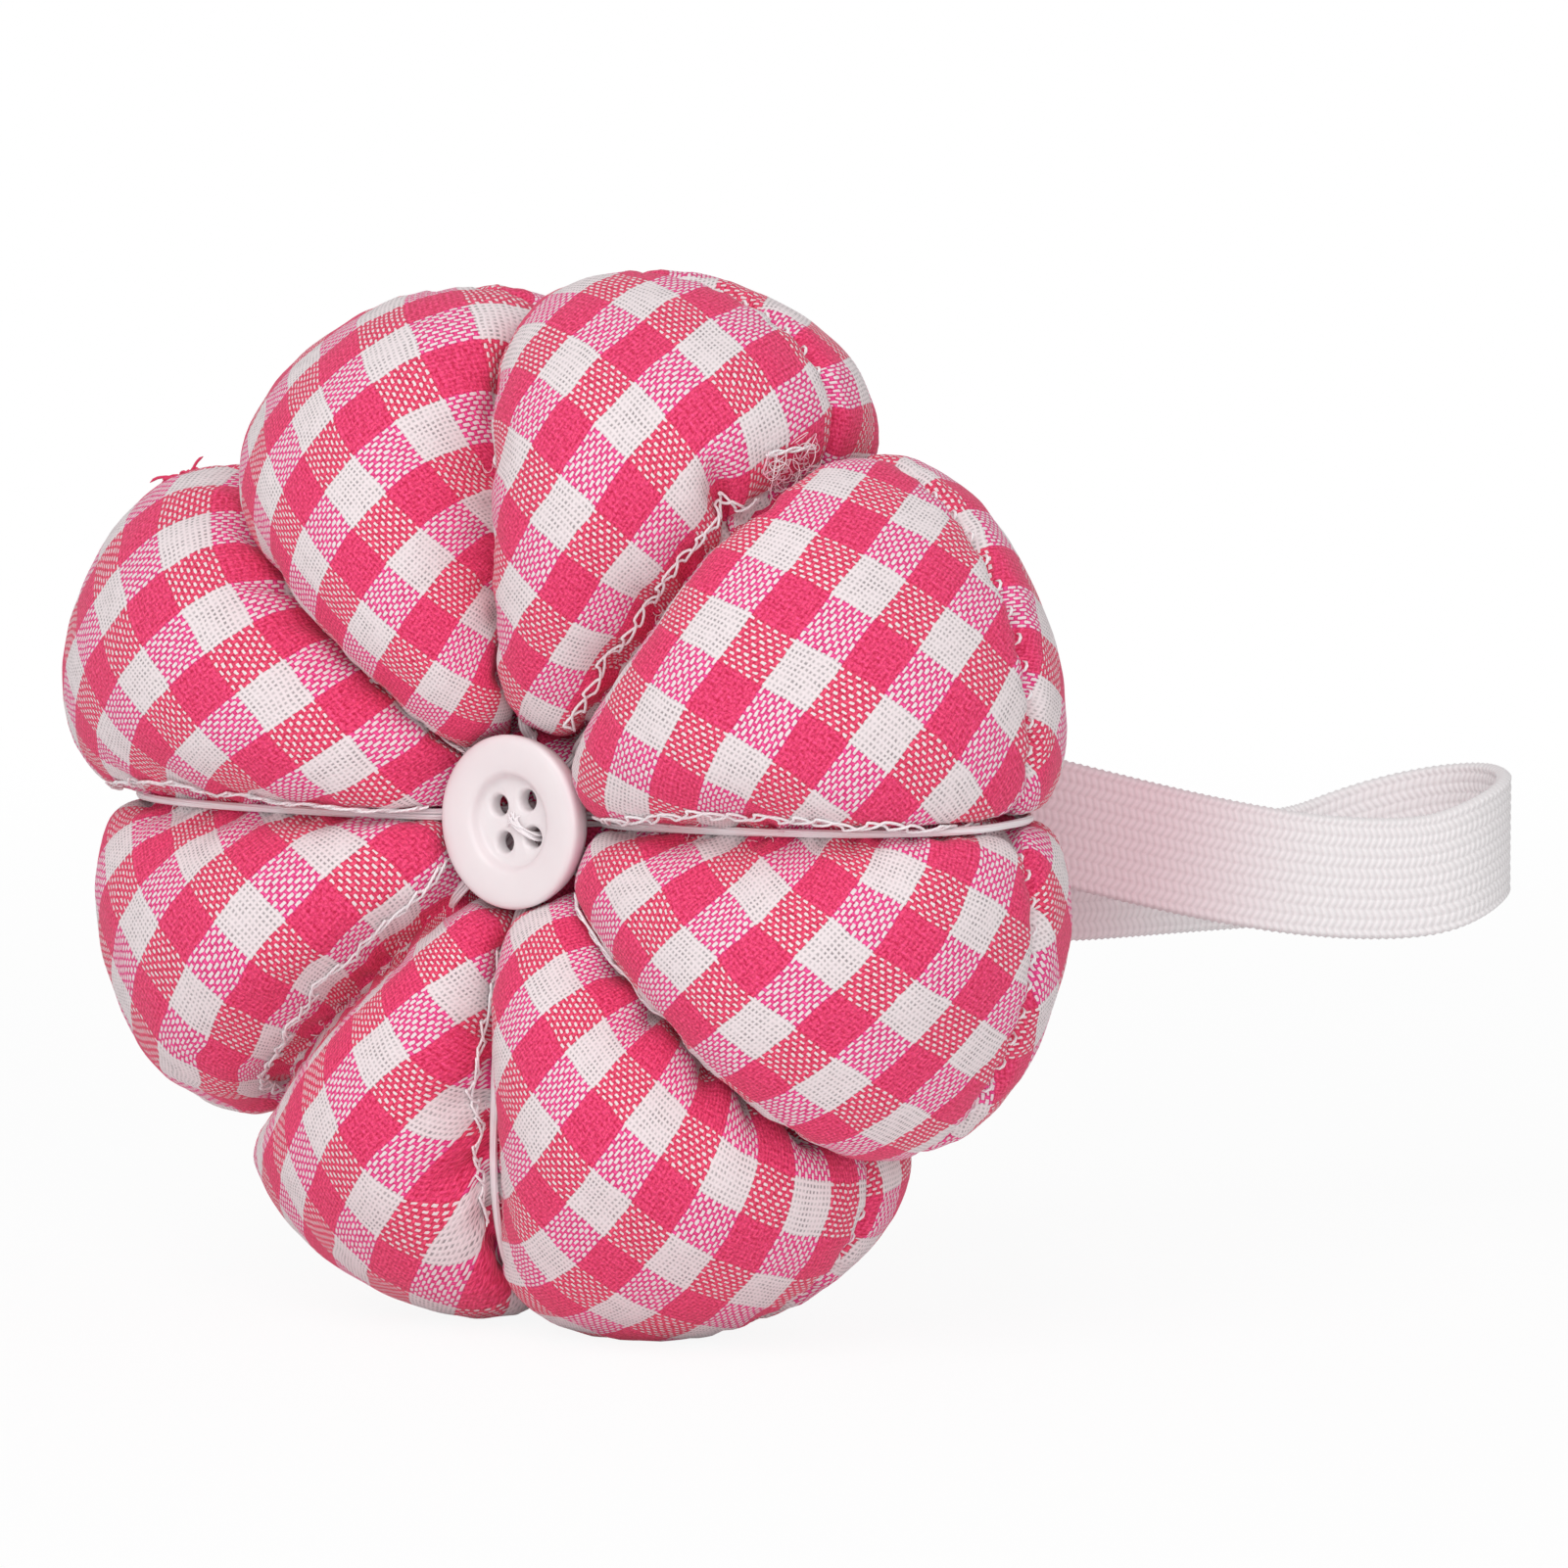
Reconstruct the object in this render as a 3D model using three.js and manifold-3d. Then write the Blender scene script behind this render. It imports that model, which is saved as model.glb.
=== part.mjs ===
// Wrist pincushion: a stuffed gingham bag that thread draws into eight petals, with a button sunk in
// its front and a loop of elastic for the wrist behind. Millimetres, +Z up, the button faces -Y, and
// the bag stands on its two lowest petals.
import * as THREE from 'three';
import { mergeVertices } from 'three/addons/utils/BufferGeometryUtils.js';
import Module from 'manifold-3d';

// Room kept between pieces that touch
const clearance = 0.3;

// Bag: two discs of cotton, sewn together round the rim
const clothThickness = 0.6;
const crownHeight = 18.8; // top of a petal above the rim's plane
const crownRadius = 19; // top of a petal from the bag's axis
const dimpleHeight = 5.8; // gathered middle above the rim's plane
const bagReach = 40; // bag's axis to a petal's tip
const petalExtra = [0, 0.5, 0.5, 3.5, 1.5, 0.6, 0, -0.5]; // how much further each petal reaches
const petalFullness = 2.2; // 2 gives a round petal, more a squarer one
const restDepth = 0.5; // how deep the two lowest petals are pressed flat
const restingPetals = [5, 6];

// Grooves between the petals, counted from the right-hand one towards the top
const grooveAngle = [1, 51, 93, 138, 180, 224, 267, 316]; // degrees
const uprightGrooveReach = 36; // bag's axis to the rim, in the upright and level grooves
const slantGrooveReach = 33.4; // the same in the slanting grooves, which are drawn in tighter
const grooveHeight = 8.8; // floor of a groove above the rim's plane
const grooveTautness = 2.6; // 2 gives a round floor, more a straighter one

// Threads
const seamThread = 0.5;
const stitchThread = 0.5;
const stitchShare = 0.9; // groove stitching on a petal's wall, 1 being the groove's floor
const stitchWaveShare = 0.03; // how far it waves either side of there
const stitchWaves = 7;
const stitchFrom = 125; // degrees along the petal, 90 being its crown and 0 the rim
const stitchTo = 24;
const wrapThread = 1.3;
const wrapStart = 3.2; // bag's axis to the ends of the wraps
const tieDiameter = 2.4;
const buttonThread = 0.8;

// Button
const buttonDiameter = 12.7;
const buttonThickness = 3;
const buttonRound = 0.9; // rounding of the button's edge
const recessDiameter = 6.8;
const recessDepth = 0.9;
const holeDiameter = 1.5;
const holeSpacing = 2.7;

// Elastic band
const bandWidth = 9.5;
const bandThickness = 1.2;
const loopLength = 72.6; // from the tack to the end of the loop
const loopWidth = 21.2; // across the middles of the two runs
const loopEnd = 11; // length of the rounded end
const bendLength = 36; // length of the loop that keeps its shape when the runs stretch
const partFromShare = -0.15; // where the two runs part and where they are parted, as shares of a run
const partToShare = 1.05;
const loopSwing = 35; // degrees from straight behind, towards +X
const nearRunAtTack = 1.5; // heights of the middle of each run
const nearRunAtEnd = -7.9;
const farRunAtTack = -3.2;
const farRunAtEnd = -9.1;
const nearFallFromShare = 0.1; // where the near run starts and stops falling, as shares of a run
const nearFallToShare = 0.95;
const farLevelShare = 0.68; // where the far run stops falling
const loopEndRise = 3.5; // height of the middle of the rounded end above the ends of the runs
const knotDiameter = 5.2;
const knotThickness = 2.4;
const tackDiameter = 1.6;
const tackOverhang = 0.5; // how far the tack runs past the band's edges

// Wraps lie on the cloth, and the petals rise round the button that sits on the wraps
const wrapLift = clearance + wrapThread / 2;
const dimpleRadius = buttonDiameter / 2 + clearance + wrapLift;

const petalCount = grooveAngle.length;
const weldDistance = 1e-4;
const farAway = 400;
const radians = THREE.MathUtils.degToRad;

const wasm = await Module();
wasm.setup();

// Solids and geometry

function toSolid(geometry) {
  const bare = geometry.clone();
  bare.deleteAttribute('normal');
  bare.deleteAttribute('uv');
  const welded = mergeVertices(bare, weldDistance);
  return new wasm.Manifold(new wasm.Mesh({
    numProp: 3,
    vertProperties: new Float32Array(welded.attributes.position.array),
    triVerts: new Uint32Array(welded.index.array),
  }));
}

function toGeometry(solid) {
  const mesh = solid.getMesh();
  const geometry = new THREE.BufferGeometry();
  geometry.setAttribute('position', new THREE.BufferAttribute(mesh.vertProperties, 3));
  geometry.setIndex(new THREE.BufferAttribute(mesh.triVerts, 1));
  geometry.computeVertexNormals();
  return geometry;
}

// A block from one corner to the opposite one
function block(low, high) {
  const size = new THREE.Vector3().subVectors(high, low);
  const middle = new THREE.Vector3().addVectors(low, high).multiplyScalar(0.5);
  return toSolid(new THREE.BoxGeometry(size.x, size.y, size.z).translate(...middle));
}

// A round bar between two points
function bar(from, to, diameter, sides = 12) {
  const along = new THREE.Vector3().subVectors(to, from);
  const geometry = new THREE.CylinderGeometry(diameter / 2, diameter / 2, along.length(), sides);
  const turn = new THREE.Quaternion().setFromUnitVectors(
    new THREE.Vector3(0, 1, 0), along.clone().normalize());
  geometry.applyQuaternion(turn);
  const middle = new THREE.Vector3().addVectors(from, to).multiplyScalar(0.5);
  return geometry.translate(...middle);
}

// A thread that follows points: a tube with flat ends
function thread(points, diameter, sides, steps) {
  const section = [];
  for (let i = 0; i < sides; i += 1) {
    const turn = (2 * Math.PI * i) / sides;
    section.push(new THREE.Vector2(Math.cos(turn), Math.sin(turn)).multiplyScalar(diameter / 2));
  }
  return new THREE.ExtrudeGeometry(new THREE.Shape(section), {
    steps,
    extrudePath: new THREE.CatmullRomCurve3(points, false, 'centripetal'),
  });
}

// A closed skin through rings of equally many points, front to back. Each end closes on a point.
function skin(rings, firstPoint, lastPoint) {
  const count = rings[0].length;
  const points = [firstPoint, ...rings.flat(), lastPoint];
  const last = points.length - 1;
  const triangles = [];
  for (let j = 0; j < count; j += 1) {
    const next = (j + 1) % count;
    triangles.push(0, 1 + j, 1 + next);
    for (let i = 0; i < rings.length - 1; i += 1) {
      const here = 1 + i * count;
      const behind = here + count;
      triangles.push(here + j, behind + j, behind + next, here + j, behind + next, here + next);
    }
    triangles.push(last, last - count + next, last - count + j);
  }
  const geometry = new THREE.BufferGeometry().setFromPoints(points);
  geometry.setIndex(triangles);
  return geometry;
}

// Shape of the bag. Turn runs along a petal from the front middle (180 degrees) over its crown (90)
// to the rim (0) and on to the back middle (-180). Inset is the depth below the bag's skin.

function signedPower(value, power) {
  return Math.sign(value) * Math.abs(value) ** power;
}

// Radius and height of a petal's ridge
function ridge(petal, turn, inset) {
  const c = Math.cos(turn);
  const s = Math.sin(turn);
  const foot = dimpleHeight - inset;
  const crown = crownHeight - inset;
  if (c >= 0) {
    const reach = bagReach + petalExtra[petal] - inset;
    return { radius: crownRadius + (reach - crownRadius) * c, height: crown * s };
  }
  return {
    radius: crownRadius + (crownRadius - dimpleRadius - inset) * c,
    height: Math.sign(s) * (foot + (crown - foot) * Math.abs(s)),
  };
}

// Radius and height of a groove's floor
function grooveFloor(groove, turn, inset) {
  const c = Math.cos(turn);
  const s = Math.sin(turn);
  const foot = dimpleHeight - inset;
  const floor = grooveHeight - inset;
  const slanting = groove % 2 === 1;
  const reach = (slanting ? slantGrooveReach : uprightGrooveReach) - inset;
  if (c >= 0) {
    const power = 2 / grooveTautness;
    return {
      radius: crownRadius + (reach - crownRadius) * signedPower(c, power),
      height: floor * signedPower(s, power),
    };
  }
  return {
    radius: crownRadius + (crownRadius - dimpleRadius - inset) * c,
    height: Math.sign(s) * (foot + (floor - foot) * Math.abs(s)),
  };
}

// A point of the bag at a radius, an angle round the axis and a height towards the front
function bagPoint(radius, angle, height) {
  return new THREE.Vector3(radius * Math.cos(angle), -height, radius * Math.sin(angle));
}

// A point of a petal. Across runs from -1 in the groove before it to 1 in the groove after it.
function petalPoint(petal, across, turn, inset) {
  const after = (petal + 1) % petalCount;
  const share = (across + 1) / 2;
  const first = grooveFloor(petal, turn, inset);
  const second = grooveFloor(after, turn, inset);
  const top = ridge(petal, turn, inset);
  const swell = (1 - Math.abs(across) ** petalFullness) ** (1 / petalFullness);
  const floorRadius = THREE.MathUtils.lerp(first.radius, second.radius, share);
  const floorHeight = THREE.MathUtils.lerp(first.height, second.height, share);
  const room = (wrapThread / 2 + clearance + inset) / floorRadius;
  const startAngle = radians(grooveAngle[petal]) + room;
  const endAngle = radians(grooveAngle[after] + (after === 0 ? 360 : 0)) - room;
  return bagPoint(
    THREE.MathUtils.lerp(floorRadius, top.radius, swell),
    THREE.MathUtils.lerp(startAngle, endAngle, share),
    THREE.MathUtils.lerp(floorHeight, top.height, swell));
}

// Rows of the skin along a petal, as turns, and columns across it
const rowTurns = [180, 158, 134, 110, 86, 60, 34, 12].map(radians);
const bagTurns = [...rowTurns, 0, ...rowTurns.map((turn) => -turn).reverse()];
const petalColumns = 6;

// One ring of points round the bag
function bagRing(turn, inset) {
  const ring = [];
  for (let petal = 0; petal < petalCount; petal += 1) {
    for (let column = 0; column <= petalColumns; column += 1) {
      ring.push(petalPoint(petal, -Math.cos((Math.PI * column) / petalColumns), turn, inset));
    }
  }
  return ring;
}

// Height of the table: both lowest petals are pressed flat on it
function lowestOf(petal) {
  let lowest = Infinity;
  for (let column = 0; column <= petalColumns; column += 1) {
    const point = petalPoint(petal, -Math.cos((Math.PI * column) / petalColumns), 0, 0);
    lowest = Math.min(lowest, point.z);
  }
  return lowest;
}
const tableHeight = Math.max(...restingPetals.map(lowestOf)) + restDepth;

// The bag as a closed solid, below its skin by the inset and flat where it stands
function bag(inset) {
  const rings = bagTurns.map((turn) => bagRing(turn, inset));
  const front = bagPoint(0, 0, dimpleHeight - inset);
  const back = bagPoint(0, 0, inset - dimpleHeight);
  const under = block(
    new THREE.Vector3(-farAway, -farAway, -farAway),
    new THREE.Vector3(farAway, farAway, tableHeight + inset));
  return toSolid(skin(rings, front, back)).subtract(under);
}

// Where the pieces lie along the bag's axis
const wrapTop = dimpleHeight + clearance + wrapThread;
const buttonBack = wrapTop + clearance;
const buttonFront = buttonBack + buttonThickness;
const recessFloor = buttonFront - recessDepth;
const knotInner = wrapTop + clearance;
const knotOuter = knotInner + knotThickness;
const tackPlace = new THREE.Vector3(0, knotOuter + clearance + tackDiameter / 2, 0);

const assembly = new THREE.Group();

function addPiece(name, geometry, material) {
  const mesh = new THREE.Mesh(geometry, material);
  mesh.name = name;
  assembly.add(mesh);
}

const gingham = () => new THREE.MeshStandardMaterial({ color: '#e37c9a', roughness: 0.9, metalness: 0 });
const wadding = () => new THREE.MeshStandardMaterial({ color: '#f6f3ee', roughness: 1, metalness: 0 });
const cotton = () => new THREE.MeshStandardMaterial({ color: '#f3edf0', roughness: 0.75, metalness: 0 });
const polyester = () => new THREE.MeshStandardMaterial({ color: '#ece5e7', roughness: 0.3, metalness: 0 });
const elastic = () => new THREE.MeshStandardMaterial({ color: '#f0e9ea', roughness: 0.8, metalness: 0 });

// Covers: the front and back discs of cloth, one shell each, open at the rim and round the tie
function addCovers() {
  const tieRoom = tieDiameter + 2 * clearance;
  const tieHole = toSolid(bar(bagPoint(0, 0, farAway), bagPoint(0, 0, -farAway), tieRoom));
  const shell = bag(0).subtract(bag(clothThickness)).subtract(tieHole);
  const edge = seamThread / 2 + clearance;
  const corner = new THREE.Vector3(farAway, farAway, farAway);
  const front = block(corner.clone().negate(), new THREE.Vector3(farAway, -edge, farAway));
  const back = block(new THREE.Vector3(-farAway, edge, -farAway), corner);
  addPiece('front_cover', toGeometry(shell.intersect(front)), gingham());
  addPiece('back_cover', toGeometry(shell.intersect(back)), gingham());

  const fill = bag(clothThickness + clearance).subtract(tieHole);
  addPiece('fibre_fill', toGeometry(fill), wadding());
}

// Rim seam: the thread that joins the two covers, level with the cloth. It ends short of its start.
function addRimSeam() {
  const points = [];
  const steps = 10;
  for (let petal = 0; petal < petalCount; petal += 1) {
    for (let step = 0; step <= steps; step += 1) {
      const point = petalPoint(petal, -Math.cos((Math.PI * step) / steps), 0, clothThickness / 2);
      points.push(point.setZ(Math.max(point.z, tableHeight + clothThickness / 2)));
    }
  }
  addPiece('rim_seam_thread', thread(points, seamThread, 4, steps * petalCount), cotton());
}

// Groove stitching: a loose wavy line of stitches on the front, on one wall of each groove
function addGrooveStitch(groove) {
  const rightHand = Math.cos(radians(grooveAngle[groove])) > 0;
  const petal = rightHand ? groove : (groove + petalCount - 1) % petalCount;
  const wall = rightHand ? -stitchShare : stitchShare;
  const lift = clearance + stitchThread / 2;
  const quarters = 4;
  const steps = quarters * stitchWaves;
  const points = [];
  for (let step = 0; step <= steps; step += 1) {
    const turn = radians(THREE.MathUtils.lerp(stitchFrom, stitchTo, step / steps));
    const across = wall + stitchWaveShare * Math.sin((2 * Math.PI * step) / quarters);
    points.push(petalPoint(petal, across, turn, -lift));
  }
  addPiece(`groove_stitch_${groove + 1}`, thread(points, stitchThread, 4, steps), cotton());
}

// Cinch wraps: thick thread in each groove, from the front middle over the rim to the back middle
function addCinchWrap(groove) {
  const angle = radians(grooveAngle[groove]);
  const middle = dimpleHeight + wrapLift;
  const points = [bagPoint(wrapStart, angle, middle)];
  for (const turn of bagTurns) {
    const floor = grooveFloor(groove, turn, -wrapLift);
    points.push(bagPoint(floor.radius, angle, floor.height));
  }
  points.push(bagPoint(wrapStart, angle, -middle));
  addPiece(`cinch_wrap_${groove + 1}`, thread(points, wrapThread, 6, 26), cotton());
}

// Button: a turned disc with a rounded edge and a dished middle, pierced by four holes
function holePlaces() {
  const half = holeSpacing / 2;
  return [[half, half], [-half, half], [-half, -half], [half, -half]];
}

function addButton() {
  const radius = buttonDiameter / 2;
  const profile = new THREE.Path();
  profile.moveTo(0, 0);
  profile.lineTo(radius - buttonRound, 0);
  profile.absarc(radius - buttonRound, buttonRound, buttonRound, -Math.PI / 2, 0, false);
  profile.absarc(
    radius - buttonRound, buttonThickness - buttonRound, buttonRound, 0, Math.PI / 2, false);
  profile.lineTo(recessDiameter / 2 + recessDepth, buttonThickness);
  profile.quadraticCurveTo(
    recessDiameter / 2, buttonThickness, recessDiameter / 2, buttonThickness - recessDepth);
  profile.lineTo(0, buttonThickness - recessDepth);
  const blank = new THREE.LatheGeometry(profile.getPoints(3), 32);
  let solid = toSolid(blank.rotateX(Math.PI).translate(0, -buttonBack, 0));
  for (const [x, z] of holePlaces()) {
    const hole = bar(new THREE.Vector3(x, -farAway, z), new THREE.Vector3(x, 0, z), holeDiameter);
    solid = solid.subtract(toSolid(hole));
  }
  addPiece('button', toGeometry(solid), polyester());
}

// Centre tie: one thread that crosses over the button, goes down its holes and through the bag
function addCentreTie() {
  const flange = (wrapStart - wrapThread / 2 - clearance) * 2;
  const flangeTop = buttonBack - clearance;
  const stitchHeight = recessFloor + clearance + buttonThread / 2;
  const under = flangeTop - buttonThread / 2;
  let tie = toSolid(bar(bagPoint(0, 0, under), bagPoint(0, 0, clearance - knotInner), tieDiameter));
  const flangeBack = bagPoint(0, 0, flangeTop - buttonThread);
  tie = tie.add(toSolid(bar(bagPoint(0, 0, flangeTop), flangeBack, flange)));
  for (const [x, z] of holePlaces()) {
    const top = new THREE.Vector3(x, -stitchHeight, z);
    const leg = bar(top, new THREE.Vector3(x, -under, z), buttonThread, 8);
    const cross = bar(top, new THREE.Vector3(0, -stitchHeight, 0), buttonThread, 8);
    tie = tie.add(toSolid(leg)).add(toSolid(cross));
  }
  addPiece('centre_tie', toGeometry(tie), cotton());
}

// Back knot and tack: the knotted thread behind, and the bar of stitches that holds the band's ends
function addBackKnot() {
  const half = knotThickness / 2;
  const profile = new THREE.Path();
  profile.moveTo(0, -half);
  profile.lineTo(knotDiameter / 2 - half, -half);
  profile.absarc(knotDiameter / 2 - half, 0, half, -Math.PI / 2, Math.PI / 2, false);
  profile.lineTo(0, half);
  const knot = new THREE.LatheGeometry(profile.getPoints(4), 16);
  addPiece('back_knot', knot.translate(0, knotInner + half, 0), cotton());
}

function addBandTack() {
  const top = nearRunAtTack + bandWidth / 2 + tackOverhang;
  const bottom = farRunAtTack - bandWidth / 2 - tackOverhang;
  const tack = bar(
    tackPlace.clone().setZ(bottom), tackPlace.clone().setZ(top), tackDiameter);
  addPiece('band_tack', tack, cotton());
}

// Elastic band: a flat braid in one loop, whose two runs leave the tack side by side
const along = new THREE.Vector3(Math.sin(radians(loopSwing)), Math.cos(radians(loopSwing)), 0);
const sideways = new THREE.Vector3(along.y, -along.x, 0);
const runStart = tackDiameter / 2 + clearance;
const runEnd = loopLength - loopEnd;
const splitPlace = loopLength - bendLength;

function loopPoint(distance, offset, height) {
  return tackPlace.clone().addScaledVector(along, distance).addScaledVector(sideways, offset).setZ(height);
}

// A point of a run, at a distance from the tack. Side is 1 for the near run and -1 for the far one.
function runPoint(distance, side) {
  const share = (distance - runStart) / (runEnd - runStart);
  const first = (bandThickness + clearance) / 2;
  const parted = THREE.MathUtils.smoothstep(share, partFromShare, partToShare);
  const offset = THREE.MathUtils.lerp(first, loopWidth / 2, parted);
  const nearFall = THREE.MathUtils.smoothstep(share, nearFallFromShare, nearFallToShare);
  const farFall = THREE.MathUtils.smoothstep(share, 0, farLevelShare);
  const height = side > 0
    ? THREE.MathUtils.lerp(nearRunAtTack, nearRunAtEnd, nearFall)
    : THREE.MathUtils.lerp(farRunAtTack, farRunAtEnd, farFall);
  return loopPoint(distance, side * offset, height);
}

function runPoints(from, to, side) {
  const steps = 8;
  const points = [];
  for (let step = 0; step <= steps; step += 1) {
    points.push(runPoint(THREE.MathUtils.lerp(from, to, step / steps), side));
  }
  return points;
}

// The flat braid along points, standing on edge, with eased corners
function flatBand(points, steps) {
  const curve = new THREE.CatmullRomCurve3(points, false, 'centripetal');
  const ease = bandThickness / 4;
  const w = bandWidth / 2;
  const t = bandThickness / 2;
  const section = [
    [w, t - ease], [w - ease, t], [ease - w, t], [-w, t - ease],
    [-w, ease - t], [ease - w, -t], [w - ease, -t], [w, ease - t],
  ];
  const up = new THREE.Vector3(0, 0, 1);
  const rings = [];
  for (let step = 0; step <= steps; step += 1) {
    const place = curve.getPointAt(step / steps);
    const ahead = curve.getTangentAt(step / steps);
    const wide = up.clone().addScaledVector(ahead, -up.dot(ahead)).normalize();
    const thick = new THREE.Vector3().crossVectors(wide, ahead);
    rings.push(section.map(([a, b]) => (
      place.clone().addScaledVector(wide, a).addScaledVector(thick, b))));
  }
  return skin(rings, curve.getPointAt(0), curve.getPointAt(1));
}

function addElastic() {
  addPiece('elastic_near_run', flatBand(runPoints(runStart, splitPlace, 1), 14), elastic());
  addPiece('elastic_far_run', flatBand(runPoints(splitPlace, runStart, -1), 14), elastic());

  const bendStart = splitPlace + clearance;
  const points = runPoints(bendStart, runEnd, 1);
  const steps = 8;
  for (let step = 1; step < steps; step += 1) {
    const turn = Math.PI * (0.5 - step / steps);
    const rise = loopEndRise * Math.cos(turn);
    const height = THREE.MathUtils.lerp(nearRunAtEnd, farRunAtEnd, step / steps) + rise;
    points.push(loopPoint(runEnd + loopEnd * Math.cos(turn), (loopWidth / 2) * Math.sin(turn), height));
  }
  points.push(...runPoints(runEnd, bendStart, -1));
  addPiece('elastic_bend', flatBand(points, 36), elastic());
}

addCovers();
addRimSeam();
for (let groove = 0; groove < petalCount; groove += 1) {
  addGrooveStitch(groove);
  addCinchWrap(groove);
}
addButton();
addCentreTie();
addBackKnot();
addBandTack();
addElastic();

// The origin is in the middle of the base
const box = new THREE.Box3().setFromObject(assembly);
assembly.position.set(-(box.min.x + box.max.x) / 2, -(box.min.y + box.max.y) / 2, -box.min.z);

const wristPincushion = new THREE.Group();
wristPincushion.add(assembly);

export default wristPincushion;
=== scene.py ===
"""A wrist pincushion: a gingham bag drawn into eight petals, its button and threads, and its wrist loop."""

import bmesh
import bpy
import numpy as np
from mathutils import Matrix, Vector, noise


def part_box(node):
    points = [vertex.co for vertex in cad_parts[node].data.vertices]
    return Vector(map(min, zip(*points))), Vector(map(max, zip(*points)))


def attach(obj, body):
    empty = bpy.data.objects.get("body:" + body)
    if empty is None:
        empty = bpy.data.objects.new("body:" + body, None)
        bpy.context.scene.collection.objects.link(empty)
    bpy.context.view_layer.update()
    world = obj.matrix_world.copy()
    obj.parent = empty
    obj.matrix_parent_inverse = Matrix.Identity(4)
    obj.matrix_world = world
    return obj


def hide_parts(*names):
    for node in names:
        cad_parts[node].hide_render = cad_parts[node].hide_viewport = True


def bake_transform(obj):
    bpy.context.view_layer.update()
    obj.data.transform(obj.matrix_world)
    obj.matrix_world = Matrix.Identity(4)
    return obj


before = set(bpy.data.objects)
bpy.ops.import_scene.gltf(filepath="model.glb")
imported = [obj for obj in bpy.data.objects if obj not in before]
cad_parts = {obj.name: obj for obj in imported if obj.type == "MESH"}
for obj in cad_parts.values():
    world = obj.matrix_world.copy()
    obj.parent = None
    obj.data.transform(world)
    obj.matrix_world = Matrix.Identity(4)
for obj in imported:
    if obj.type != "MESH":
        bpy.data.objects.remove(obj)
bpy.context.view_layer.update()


# ---------------------------------------------------------------------------------------------
# Camera and studio. A long lens looks at the button side from its right and a little above. The
# cushion stands on plain white paper under a white tent, with one large soft lamp in front and above
# and a weaker one beside the camera.
# ---------------------------------------------------------------------------------------------
def linear(code):
    """An sRGB hex colour as linear light."""
    parts = [int(code[i:i + 2], 16) / 255 for i in (1, 3, 5)]
    return [c / 12.92 if c <= 0.04045 else ((c + 0.055) / 1.055) ** 2.4 for c in parts] + [1.0]


def add(tree, kind, inputs=(), **settings):
    """Adds one shader node with its settings, and links or sets its inputs, in order or by name."""
    made = tree.nodes.new("ShaderNode" + kind)
    for name, value in settings.items():
        setattr(made, name, value)
    sockets = [s for s in made.inputs if s.enabled]
    for key, value in (inputs if isinstance(inputs, dict) else dict(enumerate(inputs))).items():
        socket = sockets[key] if isinstance(key, int) else next(s for s in sockets if s.name == key)
        if isinstance(value, bpy.types.Node):
            value = next(s for s in value.outputs if s.enabled)
        if isinstance(value, bpy.types.NodeSocket):
            tree.links.new(value, socket)
        else:
            socket.default_value = value
    return made


def new_tree(name):
    """A new material and its empty node tree."""
    material = bpy.data.materials.new(name)
    material.use_nodes = True
    material.node_tree.nodes.clear()
    return material, material.node_tree


# The camera's place, in mm from the bag's middle.
rim_low, rim_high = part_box("rim_seam_thread")
button_low, button_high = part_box("button")
bag_middle = 1000 * np.array([(button_low.x + button_high.x) / 2, (rim_low.y + rim_high.y) / 2,
                              (button_low.z + button_high.z) / 2])
view_from = Vector((0.48719, -0.86817, 0.09446))
view_right = Vector((0.87207, 0.48938, 0))
view_up = Vector((-0.04623, 0.08238, 0.99553))
camera_away, camera_right, camera_up = 514.45, 15.03, 1.88
camera = bpy.data.objects.new("camera", bpy.data.cameras.new("camera"))
camera.data.sensor_width = 36
camera.data.lens = 160.56
camera.location = (Vector(bag_middle) + camera_away * view_from + camera_right * view_right
                   + camera_up * view_up) / 1000
camera.rotation_mode = "QUATERNION"
camera.rotation_quaternion = (-view_from).to_track_quat("-Z", "Y")
bpy.context.scene.collection.objects.link(camera)
bpy.context.scene.camera = camera
bpy.context.scene.view_settings.view_transform = "Standard"

# Matt paper, shown white to the camera and a little grey near the cushion, where it keeps the shadow.
table_paper, tree = new_tree("matt_white_paper")
rays = add(tree, "LightPath")
seen = add(tree, "Math", (rays.outputs["Is Camera Ray"], rays.outputs["Is Glossy Ray"]), operation="MAXIMUM")
from_middle = add(tree, "VectorMath", (add(tree, "NewGeometry").outputs["Position"],), operation="LENGTH")
fade = add(tree, "MapRange", (from_middle.outputs["Value"], 0.06, 0.5, 0.91, 1.0),
           interpolation_type="SMOOTHSTEP")
shown = add(tree, "Math", (seen, fade), operation="MULTIPLY")
paper = add(tree, "BsdfDiffuse", {"Color": linear("#FDFDFD")})
glow = add(tree, "Emission", {"Color": linear("#FFFFFF"), "Strength": 1.0})
add(tree, "OutputMaterial", {"Surface": add(tree, "MixShader", (shown, paper, glow))})
table_half = 3
table_top = bpy.data.meshes.new("table_top")
table_top.from_pydata([(x * table_half, y * table_half, 0) for x, y in ((-1, -1), (1, -1), (1, 1), (-1, 1))],
                      [], [(0, 1, 2, 3)])
table_top.materials.append(table_paper)
table_top = bpy.data.objects.new("table_top", table_top)
bpy.context.scene.collection.objects.link(table_top)

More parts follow.
